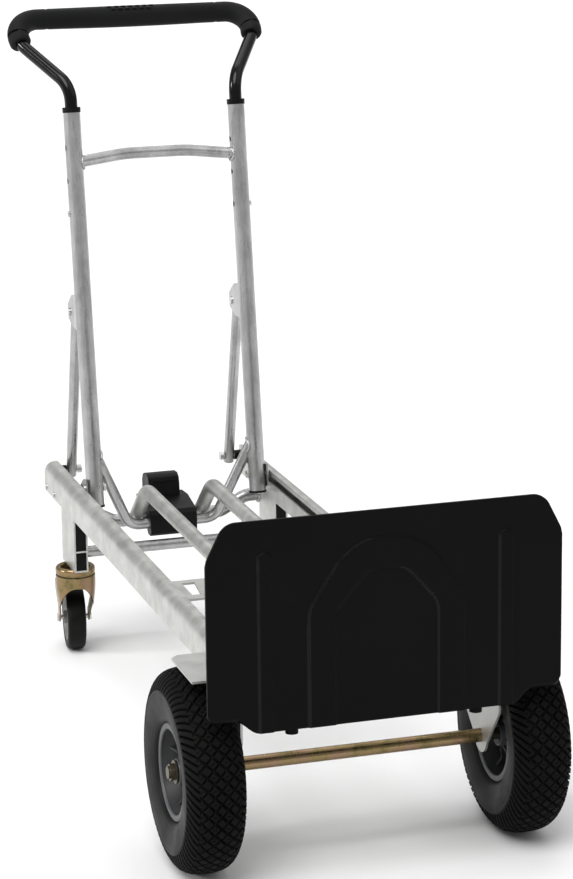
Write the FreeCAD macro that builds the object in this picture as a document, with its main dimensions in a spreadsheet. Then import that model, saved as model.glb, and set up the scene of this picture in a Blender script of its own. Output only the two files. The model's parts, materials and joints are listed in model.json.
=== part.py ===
"""Convertible aluminium hand truck, in its four-wheel cart position.

Millimetres, +Z up.  +X is the truck's width, the toe plate faces -Y, the push handle is at +Y.
The origin is on the floor, under the middle of the truck's outer box.
Distances along the truck are given rearwards from the front face of the toe plate.
"""
import FreeCAD, Part
import math
import os

import Sketcher

DIMENSIONS = {
    # overall
    "front_face": -602.217,        # Y of the toe plate's front face
    # wheels and axle
    "tyre_radius": 130.0,
    "tyre_width": 77.0,
    "tyre_height": 60.0,         # radial height of the tyre's section
    "wheel_track_half": 212.5,
    "axle_back": 125.0,
    "axle_radius": 8.0,
    "hub_radius": 17.0,
    "bush_wall": 3.0,
    # toe plate
    "toe_half_width": 227.5,
    "toe_top": 479.0,
    "toe_shoulder": 431.5,
    "toe_top_half": 203.5,
    "toe_bottom": 213.0,
    "toe_wing_bottom": 229.0,
    "toe_gauge": 4.0,
    "toe_emboss": 2.0,
    # rails
    "rail_outer": 167.5,
    "rail_inner": 146.5,
    "rail_bottom": 225.0,
    "rail_top": 269.0,
    "rail_wall": 2.5,
    "rail_round": 17.0,
    "rail_end": 1146.5,
    "slot_height": 256.0,
    "slot_half": 6.0,
    # centre tubes and cross members
    "centre_half": 51.0,
    "centre_height": 259.0,
    "centre_radius": 11.0,
    "centre_bend": 966.0,
    "cross_back": 1045.0,
    "cross_height": 193.0,
    "cross_radius": 10.0,
    # legs and casters
    "leg_front": 957.0,
    "leg_rear": 1038.0,
    "leg_bottom": 143.0,
    "caster_back": 1000.0,
    "caster_radius": 50.0,
    "caster_width": 28.0,
    "caster_trail": 38.0,
    "caster_turn": 7.0,
    "ring_radius": 30.0,
    # handle frame
    "lean": 8.5,                 # degrees back from upright
    "upright_half": 127.0,
    "upright_radius": 12.7,
    "upright_wall": 2.0,
    "upright_foot": 239.5,
    "upright_foot_back": 980.3,
    "upright_length": 588.5,
    "pin_offset": 24.0,          # sliding pin behind the upright's centre line
    # lower U brace and the pedal that turns on it
    "brace_bar_back": 1014.4,
    "brace_bar_height": 193.0,
    # brace links
    "brace_pivot_back": 1138.0,
    "brace_length": 271.0,
    "brace_radius": 8.0,
    # telescoping handle
    "handle_radius": 9.5,
    "handle_wall": 1.5,
    "grip_radius": 17.0,
    "hole_pitch": 49.0,
    "hole_first": 52.0,
}

os.makedirs("parts", exist_ok=True)
doc = FreeCAD.newDocument("hand_truck")
sheet = doc.addObject("Spreadsheet::Sheet", "dims")
for row, (alias, value) in enumerate(DIMENSIONS.items(), 1):
    sheet.set("A%d" % row, alias)
    sheet.set("B%d" % row, "%.4f" % value)
    sheet.setAlias("B%d" % row, alias)
doc.recompute()


class Size:
    """A number together with the spreadsheet expression that gives it."""

    def __init__(self, number, text):
        self.number = number
        self.text = text

    def __add__(self, other):
        other = size(other)
        return Size(self.number + other.number, "(%s + %s)" % (self.text, other.text))

    def __sub__(self, other):
        other = size(other)
        return Size(self.number - other.number, "(%s - %s)" % (self.text, other.text))

    def __mul__(self, other):
        other = size(other)
        return Size(self.number * other.number, "%s * %s" % (self.text, other.text))

    def __truediv__(self, other):
        other = size(other)
        return Size(self.number / other.number, "%s / (%s)" % (self.text, other.text))

    def __neg__(self):
        return self * -1.0

    __radd__ = __add__
    __rmul__ = __mul__

    def __rsub__(self, other):
        return size(other) - self


def size(value):
    if isinstance(value, Size):
        return value
    return Size(float(value), "(%.6f)" % value)


def sine(angle):
    return Size(math.sin(math.radians(angle.number)), "sin(%s * 1 deg)" % angle.text)


def cosine(angle):
    return Size(math.cos(math.radians(angle.number)), "cos(%s * 1 deg)" % angle.text)


def square_root(value):
    return Size(math.sqrt(value.number), "sqrt(%s)" % value.text)


class Dims:
    pass


d = Dims()
for alias, value in DIMENSIONS.items():
    setattr(d, alias, Size(value, "dims." + alias))

NODES = {}
X_AXIS = FreeCAD.Vector(1, 0, 0)
Y_AXIS = FreeCAD.Vector(0, 1, 0)
Z_AXIS = FreeCAD.Vector(0, 0, 1)
UPRIGHT = FreeCAD.Rotation()


def turned_to(axis):
    """The rotation that lays a shape built along +Z onto an axis."""
    return FreeCAD.Rotation(Z_AXIS, axis)


def back(distance):
    """Y of a point that lies a distance behind the toe plate's front face."""
    return d.front_face + distance


def place(obj, x=0.0, y=0.0, z=0.0, rotation=UPRIGHT):
    at = [size(x), size(y), size(z)]
    obj.Placement = FreeCAD.Placement(FreeCAD.Vector(*[part.number for part in at]), rotation)
    for name, part in zip("xyz", at):
        obj.setExpression("Placement.Base." + name, part.text)
    return obj


def node(label, obj):
    """Names a finished sub-part and lists it for export."""
    obj.Label = label
    NODES[label] = obj
    return obj


# ---------------------------------------------------------------- Part primitives
def rod(radius, length, x, y, z, axis=X_AXIS):
    """A cylinder that starts at a point and runs along an axis."""
    obj = doc.addObject("Part::Cylinder", "rod")
    obj.setExpression("Radius", size(radius).text)
    obj.setExpression("Height", size(length).text)
    return place(obj, x, y, z, turned_to(axis))


def across(radius, start, end, y, z):
    """A cylinder along X between two X positions."""
    low, high = (start, end) if size(start).number < size(end).number else (end, start)
    return rod(radius, size(high) - low, low, y, z)


def block(x0, x1, y0, y1, z0, z1):
    obj = doc.addObject("Part::Box", "block")
    low, high = (x0, x1) if size(x0).number < size(x1).number else (x1, x0)
    obj.setExpression("Length", (size(high) - low).text)
    obj.setExpression("Width", (size(y1) - y0).text)
    obj.setExpression("Height", (size(z1) - z0).text)
    return place(obj, low, y0, z0)


def hexagon(across_flats, length, x, y, z, axis=X_AXIS):
    """A hexagonal bolt head or nut."""
    obj = doc.addObject("Part::Prism", "hexagon")
    obj.Polygon = 6
    obj.setExpression("Circumradius", (size(across_flats) / math.sqrt(3.0)).text)
    obj.setExpression("Height", size(length).text)
    return place(obj, x, y, z, turned_to(axis))


def joined(*pieces):
    obj = doc.addObject("Part::MultiFuse", "joined")
    obj.Shapes = list(pieces)
    return obj


def grouped(*pieces):
    """Separate solids kept in one node."""
    obj = doc.addObject("Part::Compound", "grouped")
    obj.Links = list(pieces)
    return obj


def cut(base, *tools):
    for tool in tools:
        obj = doc.addObject("Part::Cut", "cut")
        obj.Base = base
        obj.Tool = tool
        base = obj
    return base


def pipe_ring(outer, inner, length, x, y, z, axis=X_AXIS):
    return cut(rod(outer, length, x, y, z, axis), rod(inner, length, x, y, z, axis))


# ---------------------------------------------------------------- sketches
def origin_plane(body, role):
    for feature in body.Origin.OriginFeatures:
        if feature.Role == role:
            return feature
    raise ValueError(role)


def new_sketch(body, role):
    sketch = body.newObject("Sketcher::SketchObject", "sketch")
    sketch.AttachmentSupport = [(origin_plane(body, role), "")]
    sketch.MapMode = "FlatFace"
    return sketch


def pin_point(sketch, geometry, vertex, x, y):
    """Fixes a sketch point at bound coordinates."""
    for kind, part in (("DistanceX", size(x)), ("DistanceY", size(y))):
        index = sketch.addConstraint(Sketcher.Constraint(kind, -1, 1, geometry, vertex, part.number))
        sketch.setExpression("Constraints[%d]" % index, part.text)


def arc_between(start, end, radius, clockwise):
    """The minor arc from start to end."""
    chord = end - start
    middle = (start + end) * 0.5
    rise = math.sqrt(max(radius ** 2 - chord.Length ** 2 / 4.0, 0.0))
    side = FreeCAD.Vector(-chord.y, chord.x, 0).normalize()
    centre = middle + side * (-rise if clockwise else rise)
    first, last = (end, start) if clockwise else (start, end)
    angle = [math.atan2((p - centre).y, (p - centre).x) for p in (first, last)]
    return Part.ArcOfCircle(Part.Circle(centre, Z_AXIS, radius), angle[0], angle[1])


def outline(sketch, points):
    """A closed outline; a point is (x, y) or (x, y, arc radius to the next point, clockwise)."""
    spots = [FreeCAD.Vector(size(p[0]).number, size(p[1]).number, 0) for p in points]
    first = sketch.GeometryCount
    starts = []
    for index, point in enumerate(points):
        here, there = spots[index], spots[(index + 1) % len(points)]
        if len(point) == 2:
            sketch.addGeometry(Part.LineSegment(here, there))
            starts.append((1, 2))
            continue
        radius, clockwise = size(point[2]), point[3]
        arc = sketch.addGeometry(arc_between(here, there, radius.number, clockwise))
        starts.append((2, 1) if clockwise else (1, 2))
        index = sketch.addConstraint(Sketcher.Constraint("Radius", arc, radius.number))
        sketch.setExpression("Constraints[%d]" % index, radius.text)
    for index, point in enumerate(points):
        before = (index - 1) % len(points)
        sketch.addConstraint(Sketcher.Constraint("Coincident", first + before, starts[before][1],
                                                 first + index, starts[index][0]))
        pin_point(sketch, first + index, starts[index][0], point[0], point[1])


def circle(sketch, x, y, radius):
    spot = FreeCAD.Vector(size(x).number, size(y).number, 0)
    index = sketch.addGeometry(Part.Circle(spot, Z_AXIS, size(radius).number))
    pin_point(sketch, index, 3, x, y)
    constraint = sketch.addConstraint(Sketcher.Constraint("Radius", index, size(radius).number))
    sketch.setExpression("Constraints[%d]" % constraint, size(radius).text)


def new_body():
    return doc.addObject("PartDesign::Body", "body")


def padded(body, role, points, length, holes=(), backwards=False):
    """A pad of one outline with round holes, added to a body."""
    sketch = new_sketch(body, role)
    outline(sketch, points)
    for hole in holes:
        circle(sketch, *hole)
    feature = body.newObject("PartDesign::Pad", "pad")
    feature.Profile = sketch
    feature.setExpression("Length", size(length).text)
    feature.Reversed = backwards
    return feature


def side_plate(points, x0, x1, holes=()):
    """A flat plate outlined in (Y, Z), between two X positions."""
    body = new_body()
    low, high = (x0, x1) if size(x0).number < size(x1).number else (x1, x0)
    padded(body, "YZ_Plane", points, size(high) - low, holes)
    return place(body, low)


def flat_plate(points, z0, z1, holes=()):
    """A flat plate outlined in (X, Y), between two heights."""
    body = new_body()
    padded(body, "XY_Plane", points, size(z1) - z0, holes)
    return place(body, 0, 0, z0)


def turned(points, x=0.0, y=0.0, z=0.0, axis=X_AXIS):
    """A turned piece: its half section is (radius, distance along the axis)."""
    body = new_body()
    sketch = new_sketch(body, "XZ_Plane")
    outline(sketch, points)
    feature = body.newObject("PartDesign::Revolution", "revolution")
    feature.Profile = sketch
    feature.ReferenceAxis = (sketch, ["V_Axis"])
    feature.Angle = 360.0
    return place(body, x, y, z, turned_to(axis))


def swept(corners, bends, outer, inner, mirrored, x=0.0, y=0.0, z=0.0, rotation=UPRIGHT):
    """A round tube whose centre line starts at the body's origin along local +X.

    The corners lie in the local XY plane, and each inner corner has its bend radius.
    """
    body = new_body()
    spine = new_sketch(body, "XY_Plane")
    spots = [FreeCAD.Vector(size(p[0]).number, size(p[1]).number, 0) for p in corners]
    trims = [0.0]
    for index in range(1, len(spots) - 1):
        before = (spots[index] - spots[index - 1]).normalize()
        after = (spots[index + 1] - spots[index]).normalize()
        trims.append(size(bends[index - 1]).number * math.tan(before.getAngle(after) / 2.0))
    trims.append(0.0)
    lines = []
    for index in range(len(spots) - 1):
        run = (spots[index + 1] - spots[index]).normalize()
        start = spots[index] + run * trims[index]
        end = spots[index + 1] - run * trims[index + 1]
        lines.append(spine.addGeometry(Part.LineSegment(start, end)))
    pin_point(spine, lines[0], 1, *corners[0])
    pin_point(spine, lines[-1], 2, *corners[-1])
    for index in range(1, len(spots) - 1):
        before, after = lines[index - 1], lines[index]
        start = spine.getPoint(before, 2)
        end = spine.getPoint(after, 1)
        radius = size(bends[index - 1])
        turn = (spots[index] - spots[index - 1]).cross(spots[index + 1] - spots[index]).z
        arc = spine.addGeometry(arc_between(start, end, radius.number, turn < 0))
        near, far = (1, 2) if turn > 0 else (2, 1)
        corner = spine.addGeometry(Part.Point(spots[index]), True)
        spine.addConstraint(Sketcher.Constraint("Tangent", before, 2, arc, near))
        spine.addConstraint(Sketcher.Constraint("Tangent", arc, far, after, 1))
        spine.addConstraint(Sketcher.Constraint("PointOnObject", corner, 1, before))
        spine.addConstraint(Sketcher.Constraint("PointOnObject", corner, 1, after))
        pin_point(spine, corner, 1, *corners[index])
        fixed = spine.addConstraint(Sketcher.Constraint("Radius", arc, radius.number))
        spine.setExpression("Constraints[%d]" % fixed, radius.text)
    section = new_sketch(body, "YZ_Plane")
    circle(section, 0, 0, outer)
    if inner is not None:
        circle(section, 0, 0, inner)
    doc.recompute()
    pipe = body.newObject("PartDesign::AdditivePipe", "pipe")
    pipe.Profile = section
    pipe.Spine = (spine, [])
    doc.recompute()
    if mirrored:
        mirror = body.newObject("PartDesign::Mirrored", "mirrored")
        mirror.Originals = [pipe]
        mirror.MirrorPlane = (origin_plane(body, "YZ_Plane"), [""])
        body.Tip = mirror
    return place(body, x, y, z, rotation)


# ---------------------------------------------------------------- derived places
AXLE_Y = back(d.axle_back)
TILT = FreeCAD.Rotation(FreeCAD.Vector(-1, 0, 0), d.lean.number)
LEAN_SINE = sine(d.lean)
LEAN_COSINE = cosine(d.lean)
SIDES = (("left", -1.0), ("right", 1.0))


def on_upright(along, behind=0.0):
    """Y and Z of a point measured along an upright from its foot, and behind its centre line."""
    y = back(d.upright_foot_back) + size(along) * LEAN_SINE + size(behind) * LEAN_COSINE
    z = d.upright_foot + size(along) * LEAN_COSINE - size(behind) * LEAN_SINE
    return y, z


def leaning(obj, x, along=0.0, behind=0.0):
    """Puts a piece built along +Z on the leaning frame of the handle."""
    y, z = on_upright(along, behind)
    place(obj, x, y, z, TILT)
    obj.setExpression("Placement.Rotation.Angle", d.lean.text)
    return obj


def leaning_plate(points, x0, x1, holes=()):
    """A side plate outlined in (behind, along) of the leaning frame."""
    plate = side_plate(points, x0, x1, holes)
    low = x0 if size(x0).number < size(x1).number else x1
    return leaning(plate, low)


pin_along = (d.slot_height - d.upright_foot + d.pin_offset * LEAN_SINE) / LEAN_COSINE
PIN_Y, PIN_Z = on_upright(pin_along, d.pin_offset)
BRACE_Y = back(d.brace_pivot_back)
half_base = (BRACE_Y - PIN_Y) / 2.0
EAR_Y = (BRACE_Y + PIN_Y) / 2.0
EAR_Z = d.slot_height + square_root(d.brace_length * d.brace_length - half_base * half_base)
foot_to_ear_y = EAR_Y - back(d.upright_foot_back)
foot_to_ear_z = EAR_Z - d.upright_foot
ear_along = foot_to_ear_y * LEAN_SINE + foot_to_ear_z * LEAN_COSINE
ear_behind = foot_to_ear_y * LEAN_COSINE - foot_to_ear_z * LEAN_SINE
hole_spots = [d.upright_length - d.hole_first - d.hole_pitch * step for step in (0, 1, 2)]
bracket_bolt_spot = 26.0


# ---------------------------------------------------------------- toe plate
def toe_plate():
    shoulder = d.toe_half_width
    edge = [(-shoulder, d.toe_wing_bottom), (-d.toe_half_width + 40.0, d.toe_wing_bottom),
            (-d.toe_half_width + 60.0, d.toe_bottom), (d.toe_half_width - 60.0, d.toe_bottom),
            (d.toe_half_width - 40.0, d.toe_wing_bottom), (shoulder, d.toe_wing_bottom),
            (shoulder, d.toe_shoulder), (d.toe_top_half, d.toe_top),
            (-d.toe_top_half, d.toe_top), (-shoulder, d.toe_shoulder)]
    arch = [(-100.0, d.toe_bottom + 4.0), (-66.0, d.toe_bottom + 4.0), (-66.0, 357.0),
            (-22.0, 404.0), (22.0, 404.0), (66.0, 357.0), (66.0, d.toe_bottom + 4.0),
            (100.0, d.toe_bottom + 4.0), (100.0, 368.0), (60.0, 424.0), (20.0, 443.0),
            (-20.0, 443.0), (-60.0, 424.0), (-100.0, 368.0)]
    body = new_body()
    padded(body, "XZ_Plane", edge, d.toe_gauge, backwards=True)
    padded(body, "XZ_Plane", arch, d.toe_emboss)
    place(body, 0, back(d.toe_emboss), 0)
    lip = block(-d.toe_half_width + 62.0, d.toe_half_width - 62.0, back(d.toe_emboss + d.toe_gauge),
                back(30.0), d.toe_bottom, d.toe_bottom + d.toe_gauge)
    node("toe_plate", joined(body, lip))


def toe_fittings():
    bumpers, cleats, bolts = [], [], []
    for name, side in SIDES:
        x = 119.0 * side
        bumpers.append(rod(8.0, 8.0, x, back(14.0), d.toe_bottom - 8.0, Z_AXIS))
        outer = (d.rail_outer + 3.0) * side
        wing = (d.rail_outer + 32.0) * side
        cleats.append(joined(block(d.rail_outer * side, outer, back(6.0), back(58.0), 233.0, 263.0),
                             block(d.rail_outer * side, wing, back(6.0), back(9.0), 233.0, 263.0)))
        for distance in (24.0, 46.0):
            low = d.rail_outer + 3.0 if side > 0 else -d.rail_outer - 5.5
            bolts.append(hexagon(10.0, 2.5, low, back(distance), 248.0))
    node("toe_bumpers", grouped(*bumpers))
    node("toe_cleats", grouped(*cleats))
    node("toe_cleat_bolts", grouped(*bolts))


# ---------------------------------------------------------------- rails
def rail(name, side):
    """Hollow rail with a rounded outer top edge and a track slot along its inner face."""
    outer, inner, wall = d.rail_outer, d.rail_inner, d.rail_wall
    low, top = d.rail_bottom, d.rail_top
    ridge = outer - d.rail_round
    slot_low, slot_high = d.slot_height - d.slot_half, d.slot_height + d.slot_half
    turn = side > 0
    points = [(outer * side, low), (outer * side, top - d.rail_round, d.rail_round, not turn),
              (ridge * side, top), (inner * side, top), (inner * side, slot_high),
              ((inner + wall) * side, slot_high), ((inner + wall) * side, top - wall),
              (ridge * side, top - wall, d.rail_round - wall, turn),
              ((outer - wall) * side, top - d.rail_round), ((outer - wall) * side, low + wall),
              ((inner + wall) * side, low + wall), ((inner + wall) * side, slot_low),
              (inner * side, slot_low), (inner * side, low)]
    body = new_body()
    padded(body, "XZ_Plane", points, d.rail_end - 6.0, backwards=True)
    place(body, 0, back(6.0), 0)
    node("rail_" + name, body)


def rail_end_cap(side):
    outer, inner = d.rail_outer, d.rail_inner
    points = [(outer * side, d.rail_bottom), (outer * side, d.rail_top - d.rail_round, d.rail_round,
                                              side < 0),
              ((outer - d.rail_round) * side, d.rail_top), (inner * side, d.rail_top),
              (inner * side, d.rail_bottom)]
    body = new_body()
    padded(body, "XZ_Plane", points, 2.0, backwards=True)
    place(body, 0, back(d.rail_end), 0)
    plug = block((inner + 3.0) * side, (outer - 3.0) * side, back(d.rail_end - 9.0), back(d.rail_end),
                 d.rail_bottom + 3.0, d.rail_bottom + 18.0)
    return joined(body, plug)


# ---------------------------------------------------------------- front cross plate, axle, wheels
def cross_plate():
    """Plate welded between the rails and the centre tubes, with a hole beside each rail."""
    half, front, rear = d.rail_inner, back(394.0), back(480.0)
    body = new_body()
    sketch = new_sketch(body, "XY_Plane")
    outline(sketch, [(-half, front), (half, front), (half, rear), (-half, rear)])
    for side in (-1.0, 1.0):
        outline(sketch, [(121.0 * side, front + 17.0), (133.0 * side, front + 17.0),
                         (133.0 * side, rear - 13.0), (115.0 * side, rear - 13.0)])
    pad = body.newObject("PartDesign::Pad", "pad")
    pad.Profile = sketch
    pad.Length = 3.0
    place(body, 0, 0, 262.0)
    tubes = [rod(d.centre_radius, 100.0, d.centre_half * side, back(390.0), d.centre_height, Y_AXIS)
             for name, side in SIDES]
    node("cross_plate", cut(body, *tubes))


def axle_bracket(name, side):
    """Hanger plate from the rail to the axle, with a mudguard tab over the tyre."""
    gauge = 3.0
    face = d.rail_outer
    hub = 22.0
    points = [(back(60.0), d.rail_top - 4.0), (back(60.0), 180.0),
              (AXLE_Y - 21.5, 125.4, hub, False), (AXLE_Y + 21.5, 125.4),
              (back(176.0), 150.0), (back(188.0), d.rail_top - 4.0)]
    plate = side_plate(points, face * side, (face + gauge) * side,
                       holes=[(AXLE_Y, d.tyre_radius, d.axle_radius)])
    tab_x = [face * side, 231.0 * side]
    corner = [(tab_x[0], back(58.0)), (tab_x[1], back(58.0)), (tab_x[1], back(155.0)),
              ((231.0 - 10.0) * side, back(165.0)), (tab_x[0], back(165.0))]
    tab = flat_plate(corner, d.rail_top - 4.0, d.rail_top - 1.0)
    node("axle_bracket_" + name, joined(plate, tab))


def axle_parts():
    end = 247.0
    node("axle", across(d.axle_radius, -end, end, AXLE_Y, d.tyre_radius))
    sleeve_outer, sleeve_inner = 9.0, d.axle_radius
    node("axle_sleeve", pipe_ring(sleeve_outer, sleeve_inner, d.rail_outer * 2.0, -d.rail_outer,
                                  AXLE_Y, d.tyre_radius))
    nuts, washers = [], []
    for name, side in SIDES:
        low = 238.5 if side > 0 else -244.5
        nuts.append(cut(hexagon(20.0, 6.0, low, AXLE_Y, d.tyre_radius),
                        rod(d.axle_radius, 6.0, low, AXLE_Y, d.tyre_radius)))
        for x in (170.8, 236.4):
            low = x if side > 0 else -x - 1.8
            washers.append(pipe_ring(15.0, d.axle_radius, 1.8, low, AXLE_Y, d.tyre_radius))
    node("axle_nuts", grouped(*nuts))
    node("axle_washers", grouped(*washers))


def front_wheel(name, side):
    """Puncture-proof tyre on a grey moulded rim that turns on two flanged bushes."""
    centre = d.wheel_track_half * side
    half = d.tyre_width / 2.0
    outer = d.tyre_radius
    seat = outer - d.tyre_height
    tyre = [(seat - 6.0, -half + 9.5), (outer - 35.0, -half, 60.0, False), (outer - 12.0, -half + 5.0),
            (outer, -half + 20.0), (outer, half - 20.0), (outer - 12.0, half - 5.0),
            (outer - 35.0, half), (seat - 6.0, half - 9.5), (seat - 6.0, half - 14.5),
            (seat - 2.0, half - 19.0), (seat - 2.0, -half + 19.0), (seat - 6.0, -half + 14.5)]
    tyre = [(point[0], point[1]) for point in tyre]
    node("tyre_" + name, turned(tyre, centre, AXLE_Y, d.tyre_radius))
    hub = d.hub_radius
    bore = d.axle_radius + d.bush_wall
    rim_edge = half - 8.5
    rim = [(bore, -23.0), (hub, -23.0), (hub, -6.0), (seat - 16.0, -6.0), (seat - 14.0, -rim_edge),
           (seat - 6.0, -rim_edge), (seat - 6.0, -half + 14.5), (seat - 2.0, -half + 19.0),
           (seat - 2.0, half - 19.0), (seat - 6.0, half - 14.5), (seat - 6.0, rim_edge), (seat - 14.0, rim_edge), (seat - 16.0, 6.0), (hub, 6.0),
           (hub, 23.0), (bore, 23.0)]
    node("rim_" + name, turned(rim, centre, AXLE_Y, d.tyre_radius))
    running = d.axle_radius + 0.06
    bushes = []
    for end in (-1.0, 1.0):
        start = centre + (4.0 if end > 0 else -23.0)
        sleeve = pipe_ring(bore, running, 19.0, start, AXLE_Y, d.tyre_radius)
        flange_start = centre + (23.0 if end > 0 else -23.6)
        flange = pipe_ring(bore + 3.0, running, 0.6, flange_start, AXLE_Y, d.tyre_radius)
        bushes.append(joined(sleeve, flange))
    node("wheel_bushes_" + name, grouped(*bushes))


# ---------------------------------------------------------------- centre tubes and cross members
def cross_member():
    corners = [(0, 0), (84.0, 0), (126.0, 22.0), (d.rail_outer - 10.0, 22.0)]
    tube = swept(corners, [32.0, 32.0], d.cross_radius, d.cross_radius - 2.0, True,
                 0, back(d.cross_back), d.cross_height, FreeCAD.Rotation(X_AXIS, 90))
    legs = [block(d.rail_inner * side, (d.rail_outer + 1.0) * side, back(d.leg_front), back(d.leg_rear),
                  d.leg_bottom, d.rail_bottom) for _, side in SIDES]
    node("rear_cross_member", cut(tube, *legs))


def centre_tube(name, side):
    start = d.toe_emboss + d.toe_gauge
    corners = [(0, 0), (d.centre_bend - start, 0),
               (d.cross_back - start, d.cross_height - d.centre_height)]
    along = FreeCAD.Rotation(Y_AXIS, Z_AXIS, X_AXIS)
    tube = swept(corners, [48.0], d.centre_radius, d.centre_radius - 2.0, False,
                 d.centre_half * side, back(start), d.centre_height, along)
    saddle = across(d.cross_radius, d.centre_half * side - 14.0, d.centre_half * side + 14.0,
                    back(d.cross_back), d.cross_height)
    node("centre_tube_" + name, cut(tube, saddle))


def leg(name, side):
    """Channel leg under a rail, open to the front, with two cross webs."""
    inner, outer, wall = d.rail_inner, d.rail_outer, 2.5
    front, rear = back(d.leg_front), back(d.leg_rear)
    channel = flat_plate([(inner * side, front), ((inner + wall) * side, front),
                          ((inner + wall) * side, rear - wall), ((outer - wall) * side, rear - wall),
                          ((outer - wall) * side, front), (outer * side, front),
                          (outer * side, rear), (inner * side, rear)], d.leg_bottom, d.rail_bottom)
    webs = [block((inner + wall) * side, (outer - wall) * side, front, rear - wall, z, z + 2.5)
            for z in (d.leg_bottom, d.leg_bottom + 30.5)]
    x, y = (inner + outer) / 2.0 * side, back(d.caster_back)
    node("leg_" + name, cut(joined(channel, *webs), rod(6.0, 6.0, x, y, d.leg_bottom - 1.0, Z_AXIS)))
    bolt_room = rod(6.6, 12.0, x, y, d.leg_bottom, Z_AXIS)
    gap = 0.4
    fillers = []
    for low, high in ((d.leg_bottom + 2.5, d.leg_bottom + 30.5), (d.leg_bottom + 33.0, d.rail_bottom)):
        insert = block((inner + wall + gap) * side, (outer - wall - gap) * side, front + 2.0,
                       rear - wall - gap, low + gap, high - gap)
        fillers.append(cut(insert, bolt_room) if low.number < d.leg_bottom.number + 10.0 else insert)
    return fillers


def leg_parts():
    node("leg_cross_tube", cut(across(8.5, -d.rail_inner, d.rail_inner, back(1000.0), 162.0),
                               across(6.5, -d.rail_inner, d.rail_inner, back(1000.0), 162.0)))
    bolts = []
    for name, side in SIDES:
        low = d.rail_outer if side > 0 else -d.rail_outer - 2.0
        for distance in (1085.0, 1136.0):
            bolts.append(rod(4.5, 2.0, low, back(distance), 232.0))
    node("rail_rivets", grouped(*bolts))


# ---------------------------------------------------------------- casters
def caster(name, side, races, king_bolts):
    """Swivel caster that trails to the rear: race, fork, axle bolt, hub and rubber tyre."""
    x = (d.rail_inner + d.rail_outer) / 2.0 * side
    y = back(d.caster_back)
    ring = d.ring_radius
    top = d.leg_bottom
    race = [(6.0, 0), (ring - 8.0, 0), (ring, 4.0), (ring, 9.0), (ring - 6.0, 12.0), (6.0, 12.0)]
    races.append(turned(race, x, y, top - 12.0, Z_AXIS))
    low = top - 26.3
    bolt = joined(rod(5.9, 36.0, x, y, low, Z_AXIS), hexagon(16.0, 6.0, x, y, low - 6.0, Z_AXIS))
    king_bolts.append(bolt)

    turn = FreeCAD.Rotation(Z_AXIS * -1.0, d.caster_turn.number)
    crown_low = top - 26.0
    crown = pipe_ring(ring, 6.0, 12.5, 0, 0, crown_low, Z_AXIS)
    cheeks = []
    hub_z = d.caster_radius
    trail = d.caster_trail
    for half in (-1.0, 1.0):
        points = [(-22.0, crown_low), (24.0, crown_low), (trail + 9.0, hub_z + 26.0),
                  (trail + 9.0, hub_z - 4.0), (trail, hub_z - 9.0), (trail - 9.0, hub_z - 4.0),
                  (-18.0, crown_low - 22.0)]
        cheeks.append(side_plate(points, 19.5 * half, 22.0 * half, holes=[(trail, hub_z, 4.0)]))
    fork = joined(crown, *cheeks)
    fork_place = place(fork, x, y, 0, turn)
    fork_place.setExpression("Placement.Rotation.Angle", d.caster_turn.text)
    node("caster_fork_" + name, fork_place)

    heading = -d.caster_turn
    wheel_x = x - trail * sine(heading)
    wheel_y = y + trail * cosine(heading)
    axis = turn.multVec(X_AXIS)

    def on_axle(offset):
        return wheel_x + offset * cosine(heading), wheel_y + offset * sine(heading), hub_z

    axle = joined(rod(4.0, 50.0, *on_axle(-25.0), axis), hexagon(12.0, 4.0, *on_axle(-26.0), axis),
                  hexagon(12.0, 4.0, *on_axle(22.0), axis))
    node("caster_axle_" + name, axle)
    half = d.caster_width / 2.0
    outer, seat = d.caster_radius, d.caster_radius - 13.0
    tyre = [(seat, -half), (outer - 5.0, -half), (outer, -half + 7.0), (outer, half - 7.0),
            (outer - 5.0, half), (seat, half)]
    node("caster_tyre_" + name, turned(tyre, *on_axle(0.0), axis))
    hub = [(4.06, -half - 3.0), (10.0, -half - 3.0), (10.0, -half + 4.0), (seat - 4.0, -half + 4.0),
           (seat - 4.0, -half), (seat, -half), (seat, half), (seat - 4.0, half),
           (seat - 4.0, half - 4.0), (10.0, half - 4.0), (10.0, half + 3.0), (4.06, half + 3.0)]
    node("caster_hub_" + name, turned(hub, *on_axle(0.0), axis))


# ---------------------------------------------------------------- handle frame
def upright(name, side):
    """Silver upright tube with three pairs of snap-button holes."""
    x = d.upright_half * side
    outer = leaning(rod(d.upright_radius, d.upright_length, 0, 0, 0, Z_AXIS), x)
    inner = leaning(rod(d.upright_radius - d.upright_wall, d.upright_length, 0, 0, 0, Z_AXIS), x)
    holes = [across(4.3, x - 14.0, x + 14.0, *on_upright(spot)) for spot in hole_spots]
    holes.append(across(3.1, x - 14.0, x + 14.0, *on_upright(bracket_bolt_spot)))
    node("upright_" + name, cut(outer, inner, joined(*holes)))


def upright_fittings(side, plugs, collars):
    """Black plug in an upright's foot and black collar at its top."""
    x = d.upright_half * side
    radius = d.upright_radius
    inside = radius - d.upright_wall
    plug = joined(leaning(rod(radius + 0.9, 3.0, 0, 0, 0, Z_AXIS), x, -3.0),
                  leaning(rod(inside, 8.0, 0, 0, 0, Z_AXIS), x))
    plugs.append(plug)
    neck = d.handle_radius + 0.08
    collar = cut(joined(leaning(rod(radius + 0.9, 8.0, 0, 0, 0, Z_AXIS), x, d.upright_length),
                        leaning(rod(inside, 22.0, 0, 0, 0, Z_AXIS), x, d.upright_length - 22.0)),
                 leaning(rod(neck, 32.0, 0, 0, 0, Z_AXIS), x, d.upright_length - 23.0))
    collars.append(collar)


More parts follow.
